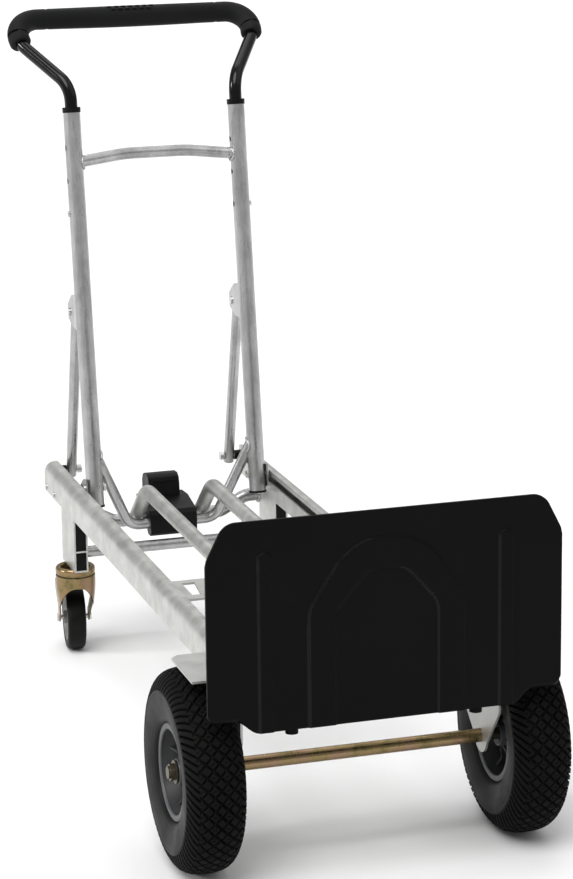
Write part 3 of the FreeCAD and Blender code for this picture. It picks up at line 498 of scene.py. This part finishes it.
# ---------------------------------------------------------------- toe plate
TOE_HALF, TOE_TOP, TOE_SHOULDER = 227.5, 479.0, 431.5
TOE_CORNER = 203.5                          # where the top edge and the clipped corner would meet
TOE_BOTTOM, TOE_WING = 213.0, 229.0
TOE_FACE, TOE_GAUGE = 2.0, 4.0              # height of the relief; thickness of the sheet
TOE_CURL = 7.0                              # how far up the bottom edge starts to roll back
CORNER_SOFTNESS = 3.2
RIB_X, RIB_TOP = 154.0, 430.0


def toe_top(x):
    """Height of the plate's top edge, with its clipped and rounded corners."""
    x = abs(x)
    start, radius = TOE_CORNER - 15.0, 24.4
    if x < start:
        return TOE_TOP
    slope = (TOE_TOP - TOE_SHOULDER) / (TOE_HALF - TOE_CORNER)
    line = TOE_TOP - (x - TOE_CORNER) * slope
    edge = 5.0 * max((x - TOE_HALF + 2.5) / 2.5, 0.0) ** 2
    if x - start < radius * 0.893:
        return TOE_TOP - radius + math.sqrt(radius ** 2 - (x - start) ** 2)
    return line - edge


def toe_bottom(x):
    """Height of the plate's bottom edge, which steps up over each tyre."""
    x = abs(x)
    step = smoothstep(164.0, 192.0, x)
    corner = 9.0 * max((x - TOE_HALF + 9.0) / 9.0, 0.0) ** 2.4
    return TOE_BOTTOM + (TOE_WING - TOE_BOTTOM) * step + corner


def depth_in(x, z, outline):
    """How far a point lies inside a convex outline, its corners softened."""
    total = 0.0
    for (ax, az), (bx, bz) in zip(outline, outline[1:]):
        length = math.hypot(bx - ax, bz - az)
        gap = ((x - ax) * (bz - az) - (z - az) * (bx - ax)) / length
        total += math.exp(-gap / CORNER_SOFTNESS)
    return -CORNER_SOFTNESS * math.log(max(total, 1e-12))


ARCH_OUTER = [(-100, 100), (-100, 362), (-58, 426), (-26, 445), (26, 445), (58, 426), (100, 362),
              (100, 100)]
ARCH_INNER = [(-66, 100), (-66, 357), (-24, 405), (24, 405), (66, 357), (66, 100)]


def toe_relief(x, z):
    """How far the pressed pattern stands out of the sheet, from 0 to 1."""
    arch = smoothstep(-1.6, 1.6, depth_in(x, z, ARCH_OUTER))
    arch *= smoothstep(1.1, -1.1, depth_in(x, z, ARCH_INNER))
    rib = math.hypot(abs(x) - RIB_X, max(z - RIB_TOP, 0.0))
    return max(arch, smoothstep(10.4, 7.6, rib))


def toe_plate_mesh():
    """The pressed sheet, with a finer grid where the relief rises and falls."""
    edges = [0.0, 62.0, 70.0, 96.0, 104.0, 142.0, 147.0, 161.0, 166.0, 186.0, 212.0, TOE_HALF]
    parts = [20, 9, 9, 9, 12, 7, 5, 7, 7, 12, 8]
    half = [0.0]
    for low, high, count in zip(edges, edges[1:], parts):
        half += [low + (high - low) * (step + 1) / count for step in range(count)]
    columns = [-x for x in reversed(half[1:])] + half
    rows, count = 230, len(columns) - 1

    def build(made):
        layers = []
        for level in (0.0, TOE_GAUGE):
            sheet = []
            for step in range(rows + 1):
                line = []
                for x in columns:
                    low, high = toe_bottom(x), toe_top(x)
                    z = low + (high - low) * step / rows
                    curl = max(low + TOE_CURL - z, 0.0) / TOE_CURL
                    roll = 5.5 * curl * curl * smoothstep(160.0, 190.0, abs(x))
                    line.append(spot(x, TOE_FACE * (1.0 - toe_relief(x, z)) + level + roll, z))
                sheet.append(line)
            layers.append(grid(made, sheet))
        front, rear = layers
        rim = [(i, 0) for i in range(rows)] + [(rows, j) for j in range(count)]
        rim += [(i, count) for i in range(rows, 0, -1)] + [(0, j) for j in range(count, 0, -1)]
        for index, (i, j) in enumerate(rim):
            k, m = rim[(index + 1) % len(rim)]
            made.faces.new((front[i][j], front[k][m], rear[k][m], rear[i][j]))
        # Faces on slopes where the relief rises to the right face left, towards the lights; they take
        # the second material, a painted highlight.
        for face in made.faces:
            here = face.calc_center_median()
            x, z = here.x / MM, here.z / MM
            left_facing_lit = toe_relief(x + 1.0, z) - toe_relief(x - 1.0, z) > 0.12
            face.material_index = int(left_facing_lit and here.y < FRONT + 0.003)
    return mesh_of("toe_plate_sheet", build)


def toe_lip(made):
    """The plate's bottom edge, folded back under the rails."""
    half = 163.0
    profile = [(TOE_FACE + 0.3, TOE_BOTTOM + TOE_CURL)]
    profile += arc((TOE_FACE + 5.0, TOE_BOTTOM + 5.0), 4.9, 180.0, 270.0, 6)
    profile += [(29.0, TOE_BOTTOM + 0.1), (30.0, TOE_BOTTOM + 1.0), (30.0, TOE_BOTTOM + 3.2),
                (29.0, TOE_BOTTOM + 4.0), (TOE_FACE + 6.0, TOE_BOTTOM + 4.0),
                (TOE_FACE + 4.2, TOE_BOTTOM + TOE_CURL)]
    slab(made, profile, -half, half, lambda y, z, x: spot(x, y, z))


plate = finished("toe_plate_pressed", toe_plate_mesh(), POWDER, "frame", ["toe_plate"], 50.0, 0.0008)
# The second material is the painted highlight on the relief's left-facing slopes.
plate.data.materials.append(LIT_SLOPES)
finished("toe_plate_lip", mesh_of("toe_plate_lip", toe_lip), POWDER, "frame", smooth=60.0, bevel=0.0006)


# ---------------------------------------------------------------- large wheels
AXLE = Vector(JOINTS["wheel_left_spin"]["pos_m"])
LUGS = 48
SHOULDER = 102.5                            # radius where the tread ends and the flank begins
CROWN_HALF, WEAVE_PITCH = 27.0, 16.6        # the crossed grooves: half width, run per lug
TREAD_CUT, TYRE_HALF = 3.2, 38.4
SIDEWALL = [(62.5, 29.0), (64.5, 31.6), (68.0, 33.6), (75.0, 35.6), (84.0, 37.2), (92.0, 38.0),
            (98.0, 38.0), (99.4, 38.4), (100.8, 38.4), (102.2, 37.6), (106.0, 37.0), (112.0, 35.2),
            (118.0, 32.0), (122.5, 28.0), (125.6, 23.5), (127.6, 18.5), (128.8, 12.5),
            (129.4, 6.5), (129.6, 0.0)]
RIM_EDGE = 30.0                             # rim flange, from the wheel's middle
BARREL_INSIDE = 53.4                        # faces nearer the axle than this are the dish
SPOKES = 8


def tyre_section(spacing):
    """(radius, along, run from the crown) round the tyre's outside, from bead to bead."""
    corners = SIDEWALL + [(radius, -along) for radius, along in reversed(SIDEWALL[:-1])]
    runs = [0.0]
    for (ra, aa), (rb, ab) in zip(corners, corners[1:]):
        runs.append(runs[-1] + math.hypot(rb - ra, ab - aa))
    count = int(runs[-1] / spacing)
    section, at = [], 0
    for step in range(count + 1):
        run = runs[-1] * step / count
        while at < len(runs) - 2 and runs[at + 1] < run:
            at += 1
        t = (run - runs[at]) / (runs[at + 1] - runs[at])
        (ra, aa), (rb, ab) = corners[at], corners[at + 1]
        section.append((ra + (rb - ra) * t, aa + (ab - aa) * t, run - runs[-1] / 2.0))
    return section


def groove(value, width):
    """1 in the middle of a groove at every whole number, 0 outside it."""
    return smoothstep(width, width * 0.45, abs(value - round(value)))


def tread_depth(turn, run, radius):
    """How deep the tread is cut, from 0 to 1, at an angle in lugs and a run across the tyre."""
    across = abs(run)
    if radius < SHOULDER:
        return 0.0
    crown = smoothstep(CROWN_HALF + 1.0, CROWN_HALF - 1.0, across)
    weave = run / WEAVE_PITCH
    cross = max(groove(turn + weave, 0.13), groove(turn - weave, 0.13))
    sipe = 0.45 * groove(2.0 * turn, 0.1) * smoothstep(0.2, 0.1, abs(abs(weave) % 1.0 - 0.5))
    slant = 0.042 * (across - CROWN_HALF) * (1.0 if run > 0.0 else -1.0)
    lugs = groove(1.5 * (turn + CROWN_HALF / WEAVE_PITCH) + 1.5 * slant, 0.15)
    lugs *= smoothstep(SHOULDER, SHOULDER + 2.0, radius)
    return max(max(cross, sipe) * crown, 1.6 * lugs * (1.0 - crown))


def tyre_mesh(name, centre):
    """The tyre with its tread cut in; faces inside the shoulder take the flank's material."""
    section = tyre_section(1.25)
    per_lug = 12

    def build(made):
        rows = []
        for step in range(LUGS * per_lug):
            angle = 2.0 * math.pi * step / (LUGS * per_lug)
            out = Y * math.cos(angle) + Z * math.sin(angle)
            row = []
            for radius, along, run in section:
                cut = TREAD_CUT * tread_depth(step / per_lug, run, radius)
                lean = min(abs(along) / TYRE_HALF, 1.0) ** 3
                row.append(centre + out * ((radius - cut * (1.0 - 0.45 * lean)) * MM)
                           + X * ((along - math.copysign(cut * lean * 0.8, along)) * MM))
            rows.append(row)
        verts = grid(made, rows, True, False)
        count = len(verts)
        for i in range(count):
            here, after = verts[i], verts[(i + 1) % count]
            made.faces.new((here[-1], here[0], after[0], after[-1]))
        for face in made.faces:
            offset = face.calc_center_median() - centre
            face.material_index = int(math.hypot(offset.y, offset.z) < SHOULDER * MM)
    return mesh_of(name, build)


def rim_barrel(made, centre):
    """Rolled flanges and tapering barrel of the moulded rim."""
    section = [(46.0, 4.0), (50.0, 13.0), (52.6, 24.0), (53.2, RIM_EDGE - 4.0),
               (53.4, RIM_EDGE - 2.4)]
    section += arc((55.6, RIM_EDGE - 2.4), 2.2, 175.0, 95.0, 5)
    section += arc((59.8, RIM_EDGE - 2.4), 2.4, 85.0, 0.0, 6)
    section += [(61.6, RIM_EDGE - 5.0), (61.0, 20.0), (60.0, 8.0)]
    section += [(radius, -along) for radius, along in reversed(section)]
    lathe(made, section, centre, X, 144)


def rim_web(made, centre, side):
    """The dished disc between hub and barrel."""
    section = [(14.0, -3.0), (24.0, -3.0), (36.0, -4.0), (52.0, -5.0), (52.0, 0.5), (36.0, 1.5),
               (24.0, 3.0), (14.0, 3.0)]
    lathe(made, [(radius, along * side) for radius, along in section], centre, X, 96)


def rim_spokes(made, centre):
    """Tapered ribs from the hub to the barrel, on both faces of the disc."""
    for index in range(SPOKES):
        angle = math.radians(90.0 + 360.0 / SPOKES * (index + 0.35))
        out = Y * math.cos(angle) + Z * math.sin(angle)
        across = X.cross(out)
        rib = rounded([(14.0, -19.0), (14.0, 19.0), (24.0, 15.0), (40.0, 11.0), (54.0, 20.0),
                       (54.0, -20.0), (40.0, -11.0), (24.0, -15.0)],
                      [0, 0, 6, 10, 0, 0, 10, 6], 4)
        slab(made, rib, -1.7, 1.7, lambda u, v, level, out=out, across=across:
             centre + out * (u * MM) + X * (v * MM) + across * (level * MM))


def rim_hub(made, centre):
    """The hub's bushed sleeve, with a collar where the disc meets it."""
    section = [(11.2, -22.8), (15.6, -22.8), (16.6, -21.8), (17.4, -8.0), (20.0, -4.5),
               (20.0, 4.5), (17.4, 8.0), (16.6, 21.8), (15.6, 22.8), (11.2, 22.8)]
    lathe(made, section, centre, X, 72)


def wheel(name, side):
    """A large wheel: treaded tyre and moulded rim."""
    centre = Vector((AXLE.x * -side, AXLE.y, AXLE.z))
    body = "wheel_" + name
    tyre = finished("tread_tyre_" + name, tyre_mesh("tread_tyre_" + name, centre), TYRE, body,
                    ["tyre_" + name], 30.0)
    tyre.data.materials.append(SIDE_RUBBER)
    barrel = finished("rim_barrel_" + name,
                      mesh_of("rim_barrel", lambda made: rim_barrel(made, centre)), RIM, body,
                      ["rim_" + name], 50.0)
    barrel.data.materials.append(SHADED_DISH)
    # Faces inside the barrel take the dish material, whose darker colour is painted shade.
    for polygon in barrel.data.polygons:
        offset = polygon.center - centre
        polygon.material_index = int(math.hypot(offset.y, offset.z) < BARREL_INSIDE * MM)
    # The web and spokes take the same painted shade of the recessed dish.
    finished("rim_web_" + name, mesh_of("rim_web", lambda made: rim_web(made, centre, side)),
             SHADED_DISH, body, smooth=50.0)
    finished("rim_spokes_" + name, mesh_of("rim_spokes", lambda made: rim_spokes(made, centre)),
             SHADED_DISH, body, smooth=40.0, bevel=0.0007)
    finished("rim_hub_" + name, mesh_of("rim_hub", lambda made: rim_hub(made, centre)),
             RIM, body, smooth=35.0, bevel=0.0005)


for name, side in SIDES:
    wheel(name, side)


# ---------------------------------------------------------------- casters
LEG_X = (LEG_INNER_X + LEG_OUTER_X) / 2.0
CASTER_BACK, CASTER_TRAIL, CASTER_TURN = 1000.0, 38.0, math.radians(7.0)
CROWN_LOW, CASTER_RADIUS = 117.0, 50.0
FORK_RADIUS, FORK_HALF_RUN = 30.0, 93.0     # of the crown; of the skirt, front to rear edge


def caster_race(made, x):
    """Rolled cup of the swivel bearing, fixed under the leg."""
    section = [(7.0, 131.2), (28.6, 131.2)] + arc((28.4, 134.2), 1.6, -80.0, 0.0, 4)
    section += arc((25.6, 138.4), 4.4, 0.0, 180.0, 14)
    section += [(20.6, 136.2), (16.0, 135.4), (7.0, 135.4)]
    lathe(made, section, spot(x, CASTER_BACK, 0.0), Z, 96)


def fork_point(place, along, level, inward):
    """A point of the fork's skirt: round the front of the crown, then back along the cheeks."""
    side = 1.0 if along >= 0.0 else -1.0
    run = abs(along)
    radius = FORK_RADIUS - inward
    quarter = math.pi / 2.0 * FORK_RADIUS
    if run < quarter:
        angle = run / FORK_RADIUS
        x, y = radius * math.sin(angle), -radius * math.cos(angle)
    else:
        x, y = radius, run - quarter
    fall = smoothstep(118.0, 52.0, level)
    x -= (x / radius) * 6.6 * fall * smoothstep(10.0, 42.0, run)
    y += 5.0 * fall * smoothstep(20.0, 0.0, run)
    return place @ Vector((side * x * MM, y * MM, level * MM))


def caster_fork(made, place):
    """Pressed fork: domed crown, then a skirt whose front is arched open over the tyre."""
    crown = [(6.2, 122.0), (20.0, 122.0), (24.0, 123.2), (27.5, 126.8), (29.0, 129.4)]
    crown += [(29.9, 129.0), (30.0, 126.0), (30.0, CROWN_LOW - 3.0), (27.8, CROWN_LOW - 3.0),
              (27.4, 122.0), (24.0, 119.6), (6.2, 119.6)]
    lathe(made, crown, place.to_translation(), Z, 96)
    steps, levels = 70, 18
    layers = []
    for inward in (0.0, 2.3):
        rows = []
        for step in range(steps + 1):
            along = FORK_HALF_RUN * (2.0 * step / steps - 1.0)
            run = abs(along)
            low = 113.0 - 33.0 * smoothstep(2.0, 46.0, run) ** 1.2
            low -= 24.0 * smoothstep(44.0, 76.0, run) + 13.0 * smoothstep(70.0, 84.0, run)
            low += 9.0 * smoothstep(86.0, FORK_HALF_RUN, run)
            high = CROWN_LOW + 4.0 - 60.0 * smoothstep(58.0, FORK_HALF_RUN, run)
            rows.append([fork_point(place, along, high + (low - high) * k / levels, inward)
                         for k in range(levels + 1)])
        layers.append(grid(made, rows))
    outer, inner = layers
    for k in (0, levels):
        for step in range(steps):
            made.faces.new((outer[step][k], outer[step + 1][k], inner[step + 1][k], inner[step][k]))
    for step in (0, steps):
        for k in range(levels):
            made.faces.new((outer[step][k], outer[step][k + 1], inner[step][k + 1], inner[step][k]))


def caster_tyre(made, centre, axis):
    half, outer, seat = 14.0, CASTER_RADIUS, 36.0
    right = [(outer, 2.0)] + arc((outer - 6.5, half - 6.5), 6.5, 5.0, 85.0, 8)
    right += [(outer - 10.0, half), (seat + 1.0, half - 0.6), (seat, half - 1.4)]
    section = right + [(radius, -along) for radius, along in reversed(right)]
    lathe(made, section, centre, axis, 120)


def caster_hub(made, centre, axis):
    right = [(35.8, 3.0), (35.8, 13.0), (33.6, 13.6), (32.6, 12.6), (31.0, 8.0), (24.0, 6.4),
             (13.0, 6.8), (10.4, 9.0), (9.8, 16.4), (5.2, 16.8)]
    section = right + [(radius, -along) for radius, along in reversed(right)]
    lathe(made, section, centre, axis, 96)


def caster(name, side):
    """A swivel caster: fork, tread and core."""
    x = LEG_X * side
    heading = Matrix.Rotation(-CASTER_TURN, 4, "Z")
    place = Matrix.Translation(spot(x, CASTER_BACK, 0.0)) @ heading
    centre = place @ Vector((0.0, CASTER_TRAIL * MM, CASTER_RADIUS * MM))
    axis = heading @ X
    finished("caster_fork_" + name, mesh_of("caster_fork", lambda made: caster_fork(made, place)),
             YELLOW, "caster_" + name, ["caster_fork_" + name], 45.0)
    wheel_body = "caster_wheel_" + name
    finished("caster_tread_" + name,
             mesh_of("caster_tread", lambda made: caster_tyre(made, centre, axis)),
             CASTER_RUBBER, wheel_body, ["caster_tyre_" + name], 50.0)
    finished("caster_core_" + name,
             mesh_of("caster_core", lambda made: caster_hub(made, centre, axis)),
             HUB, wheel_body, ["caster_hub_" + name], 35.0)


def races(made):
    for _, side in SIDES:
        caster_race(made, LEG_X * side)


for name, side in SIDES:
    caster(name, side)
finished("caster_race_cups", mesh_of("caster_race_cups", races), YELLOW, "frame",
         ["caster_races"], 50.0)


# ---------------------------------------------------------------- grip
GRIP_BACK, GRIP_Z = 1195.0, 947.0           # the middle of the grip's straight run
SEAM_X, SEAM_LOW = 132.0, 940.0


def on_axis(x, along):
    """A point on an upright's axis, at a distance up from its foot."""
    return spot(x, UPRIGHT_FOOT_BACK + along * math.sin(LEAN),
                UPRIGHT_FOOT_Z + along * math.cos(LEAN))


def bent_path(points, radius, spacing=4.0):
    """Points along straight runs joined by arcs of one radius."""
    path = [points[0]]
    for index in range(1, len(points) - 1):
        before = (points[index - 1] - points[index]).normalized()
        after = (points[index + 1] - points[index]).normalized()
        half = before.angle(after) / 2.0
        reach = radius * MM / math.tan(half)
        centre = points[index] + (before + after).normalized() * (radius * MM / math.sin(half))
        first = points[index] + before * reach - centre
        turn = first.rotation_difference(points[index] + after * reach - centre)
        for step in range(17):
            path.append(centre + Quaternion().slerp(turn, step / 16.0) @ first)
    path.append(points[-1])
    result = [path[0]]
    for here, after in zip(path, path[1:]):
        count = max(int((after - here).length / (spacing * MM)), 1)
        result += [here.lerp(after, (step + 1) / count) for step in range(count)]
    return result


def grip_mesh():
    """The foam sleeve: a bent tube with a palm swell, a flat nose and a moulding seam."""
    low, top = spot(180.0, 1158.0, 914.0), spot(186.5, GRIP_BACK, GRIP_Z)
    begin = low + (top - low).normalized() * 1.0 * MM
    mirror = Matrix.Scale(-1.0, 4, X)
    path = bent_path([begin, top, mirror @ top, mirror @ begin], 34.0, 3.0)
    sides = 48
    facing = Vector((0.0, -math.cos(math.radians(12.0)), math.sin(math.radians(12.0))))

    def build(made):
        rows = []
        travel = [0.0]
        for here, after in zip(path, path[1:]):
            travel.append(travel[-1] + (after - here).length / MM)
        for index, point in enumerate(path):
            after = path[min(index + 1, len(path) - 1)] - path[max(index - 1, 0)]
            heading = after.normalized()
            front = (facing - heading * facing.dot(heading)).normalized()
            up = heading.cross(front)
            if up.z < 0.0:
                up = -up
            along = abs(point.x) / MM
            swell = smoothstep(150.0, 10.0, along)
            end = min(travel[index], travel[-1] - travel[index])
            radius = 15.6 + 1.3 * swell + 0.7 * smoothstep(150.0, 178.0, along)
            radius -= 1.6 * max(1.0 - end / 3.0, 0.0) ** 2
            seam = 0.8 * smoothstep(1.6, 0.4, abs(along - SEAM_X)) if point.z > SEAM_LOW * MM else 0.0
            row = []
            for k in range(sides):
                angle = 2.0 * math.pi * k / sides
                out, rise = math.cos(angle), math.sin(angle)
                reach = radius - seam
                flat = smoothstep(160.0, 120.0, along)
                nose = smoothstep(0.55, 1.0, out * math.cos(0.25) - rise * math.sin(0.25))
                reach -= 1.9 * flat * nose
                crest = smoothstep(0.6, 1.0, rise * math.cos(0.5) + out * math.sin(0.5))
                reach -= 1.3 * flat * swell * crest
                row.append(point + (front * out + up * rise) * (reach * MM))
            rows.append(row)
        verts = grid(made, rows, False, True)
        for ring in (0, -1):
            middle = [point + (path[ring] - point) * 0.36 for point in rows[ring]]
            inner = [made.verts.new(point) for point in middle]
            for k in range(sides):
                n = (k + 1) % sides
                made.faces.new((verts[ring][k], verts[ring][n], inner[n], inner[k]))
            made.faces.new(inner)
    return mesh_of("grip_sleeve", build)


finished("grip_sleeve", grip_mesh(), FOAM, "handle_loop", ["grip"], 55.0)


def grip_slots(made):
    """Two short rows of finger slots moulded into the grip's crown."""
    for row, count in ((0, 7), (1, 6)):
        for index in range(count):
            x = -36.0 + 11.0 * index + 5.5 * row
            y, z = GRIP_BACK - 5.5 - 6.0 * row, GRIP_Z + 15.2 - 2.4 * row
            shape = rounded([(-3.6, -1.1), (3.6, -1.1), (3.6, 1.1), (-3.6, 1.1)], [1.0] * 4, 3)
            slab(made, shape, -1.0, 1.1, lambda u, v, level, x=x, y=y, z=z:
                 spot(x + u, y + v, z + level + 0.25 * v))


finished("grip_slots", mesh_of("grip_slots", grip_slots), PLASTIC, "handle_loop", smooth=40.0)


# ---------------------------------------------------------------- pedal
def pedal_mesh():
    """Side outlines of the block on the brace and of the step that stands on it."""
    base = [(-12, -13), (-6, -19), (7, -19), (13, -14), (13, 12), (24, 16.5), (76, 19), (76, 28),
            (40, 30), (-6, 21), (-12, 14)]
    step = [(42, 26), (84, 20), (86, 48), (80, 58), (72, 61), (56, 62), (48, 58), (44, 48)]

    def build(made):
        def place(u, v, x):
            return spot(x, BRACE_BAR_BACK + u, BRACE_BAR_Z + v)

        slab(made, rounded(base, [3, 3, 3, 3, 2, 6, 1.5, 2, 14, 4, 4], 4), -36.5, 36.5, place)
        slab(made, rounded(step, [2, 2, 5, 5, 5, 5, 5, 5], 4), -24.5, 24.5, place)
        for index in range(5):
            rise = 33.0 + 4.6 * index
            slab(made, [(43.3, rise), (45.0, rise + 0.8), (45.0, rise + 2.2), (43.6, rise + 3.0)],
                 -17.0, 17.0, place)
    return mesh_of("pedal_moulding", build)


finished("pedal_moulding", pedal_mesh(), PLASTIC, "pedal", ["latch_pedal"], 35.0, 0.0022)


# ---------------------------------------------------------------- weld beads
WELD_SEAT = 13.4                            # radius the beads run at, just outside an upright's wall


def frame_welds(made):
    """Beads round the rear cross member and along both ends of the cross plate."""
    for side in (-1.0, 1.0):
        x = LEG_INNER_X * side
        ring = [spot(x - side * 0.8, 1045.0 + 11.2 * math.cos(a), 215.0 + 11.2 * math.sin(a))
                for a in (2.0 * math.pi * k / 48 for k in range(48))]
        bead(made, ring, 1.9)
        for y in (394.6, 479.4):
            bead(made, [spot(x - side * 0.6, y - 12.0 + k, 265.4) for k in range(25)],
                 1.7, closed=False)


def handle_welds(made):
    """Beads round the upper cross bar and the lower U brace, where they meet the uprights."""
    up = Vector((0.0, math.sin(LEAN), math.cos(LEAN)))
    joint_z = 325.0
    joint_back = UPRIGHT_FOOT_BACK + (joint_z - UPRIGHT_FOOT_Z) * math.tan(LEAN)
    for side in (-1.0, 1.0):
        bar = on_axis(UPRIGHT_X * side, 514.0)
        bead(made, saddle(bar, up, X * -side, WELD_SEAT, 9.2), 1.7)
        point = spot(UPRIGHT_X * side, joint_back, joint_z)
        leg_down = (spot(68.0 * side, BRACE_BAR_BACK, BRACE_BAR_Z) - point).normalized()
        slope = leg_down - up * leg_down.dot(up)
        bead(made, saddle(point - up * 17.0 * MM, up, slope.normalized(), WELD_SEAT, 12.4), 1.7)


finished("frame_welds", mesh_of("frame_welds", frame_welds), WELD, "frame", smooth=70.0)
finished("handle_welds", mesh_of("handle_welds", handle_welds), WELD, "handle_frame", smooth=70.0)


# ---------------------------------------------------------------- stage, light and camera
TARGET = spot(247.8, 961.6, 350.0)
DISTANCE = 4.6182
AZIMUTH, ELEVATION, ROLL = math.radians(-17.971), math.radians(13.843), math.radians(-0.449)
SENSOR, LENS = 36.0, 123.7843
SHIFT_X, SHIFT_Y = -0.0561547, -0.0264278


def camera():
    data = bpy.data.cameras.new("camera")
    obj = bpy.data.objects.new("camera", data)
    bpy.context.scene.collection.objects.link(obj)
    away = Vector((math.sin(AZIMUTH) * math.cos(ELEVATION), -math.cos(AZIMUTH) * math.cos(ELEVATION),
                   math.sin(ELEVATION)))
    right = (-away).cross(Z).normalized()
    up = right.cross(-away)
    turned_right = right * math.cos(ROLL) + up * math.sin(ROLL)
    turned_up = up * math.cos(ROLL) - right * math.sin(ROLL)
    turn = Matrix((turned_right, turned_up, away)).transposed()
    obj.matrix_world = Matrix.Translation(TARGET + away * DISTANCE) @ turn.to_4x4()
    data.sensor_width = SENSOR
    data.lens = LENS
    data.shift_x, data.shift_y = SHIFT_X, SHIFT_Y
    data.clip_end = 60.0
    bpy.context.scene.camera = obj


def sun(name, azimuth, height, strength, spread):
    """A wide, soft distant light; azimuth is measured from the front, towards +X."""
    data = bpy.data.lights.new(name, "SUN")
    data.energy = strength
    data.angle = math.radians(spread)
    obj = bpy.data.objects.new(name, data)
    a, h = math.radians(azimuth), math.radians(height)
    away = Vector((math.sin(a) * math.cos(h), -math.cos(a) * math.cos(h), math.sin(h)))
    obj.rotation_euler = away.to_track_quat("Z", "Y").to_euler()
    bpy.context.scene.collection.objects.link(obj)


def stage():
    """A pale floor out to the horizon, and an even white sky."""
    def floor(made):
        reach, steps = 60.0, 8
        rows = [[Vector((-reach + 2.0 * reach * i / steps, -reach + 2.0 * reach * j / steps, 0.0))
                 for i in range(steps + 1)] for j in range(steps + 1)]
        grid(made, rows)
    finish = Finish("studio_floor", (0.84, 0.84, 0.84), 0.9)
    finish.mottle(finish.noise(3.0, 2.0), 0.004)
    finish.shader.inputs["Specular IOR Level"].default_value = 0.05
    mesh = mesh_of("studio_floor", floor)
    obj = bpy.data.objects.new("studio_floor", mesh)
    mesh.materials.append(finish.material)
    bpy.context.scene.collection.objects.link(obj)
    world = bpy.data.worlds.new("studio")
    world.use_nodes = True
    background = world.node_tree.nodes["Background"]
    background.inputs["Color"].default_value = (1.0, 1.0, 1.0, 1.0)
    background.inputs["Strength"].default_value = 0.38
    bpy.context.scene.world = world


camera()
stage()
sun("key", -42.0, 58.0, 2.1, 40.0)
sun("fill", 60.0, 50.0, 0.45, 60.0)
sun("back", 165.0, 55.0, 0.7, 50.0)
sun("rim_light", -96.0, 22.0, 1.2, 12.0)
bpy.context.scene.view_settings.view_transform = "Standard"
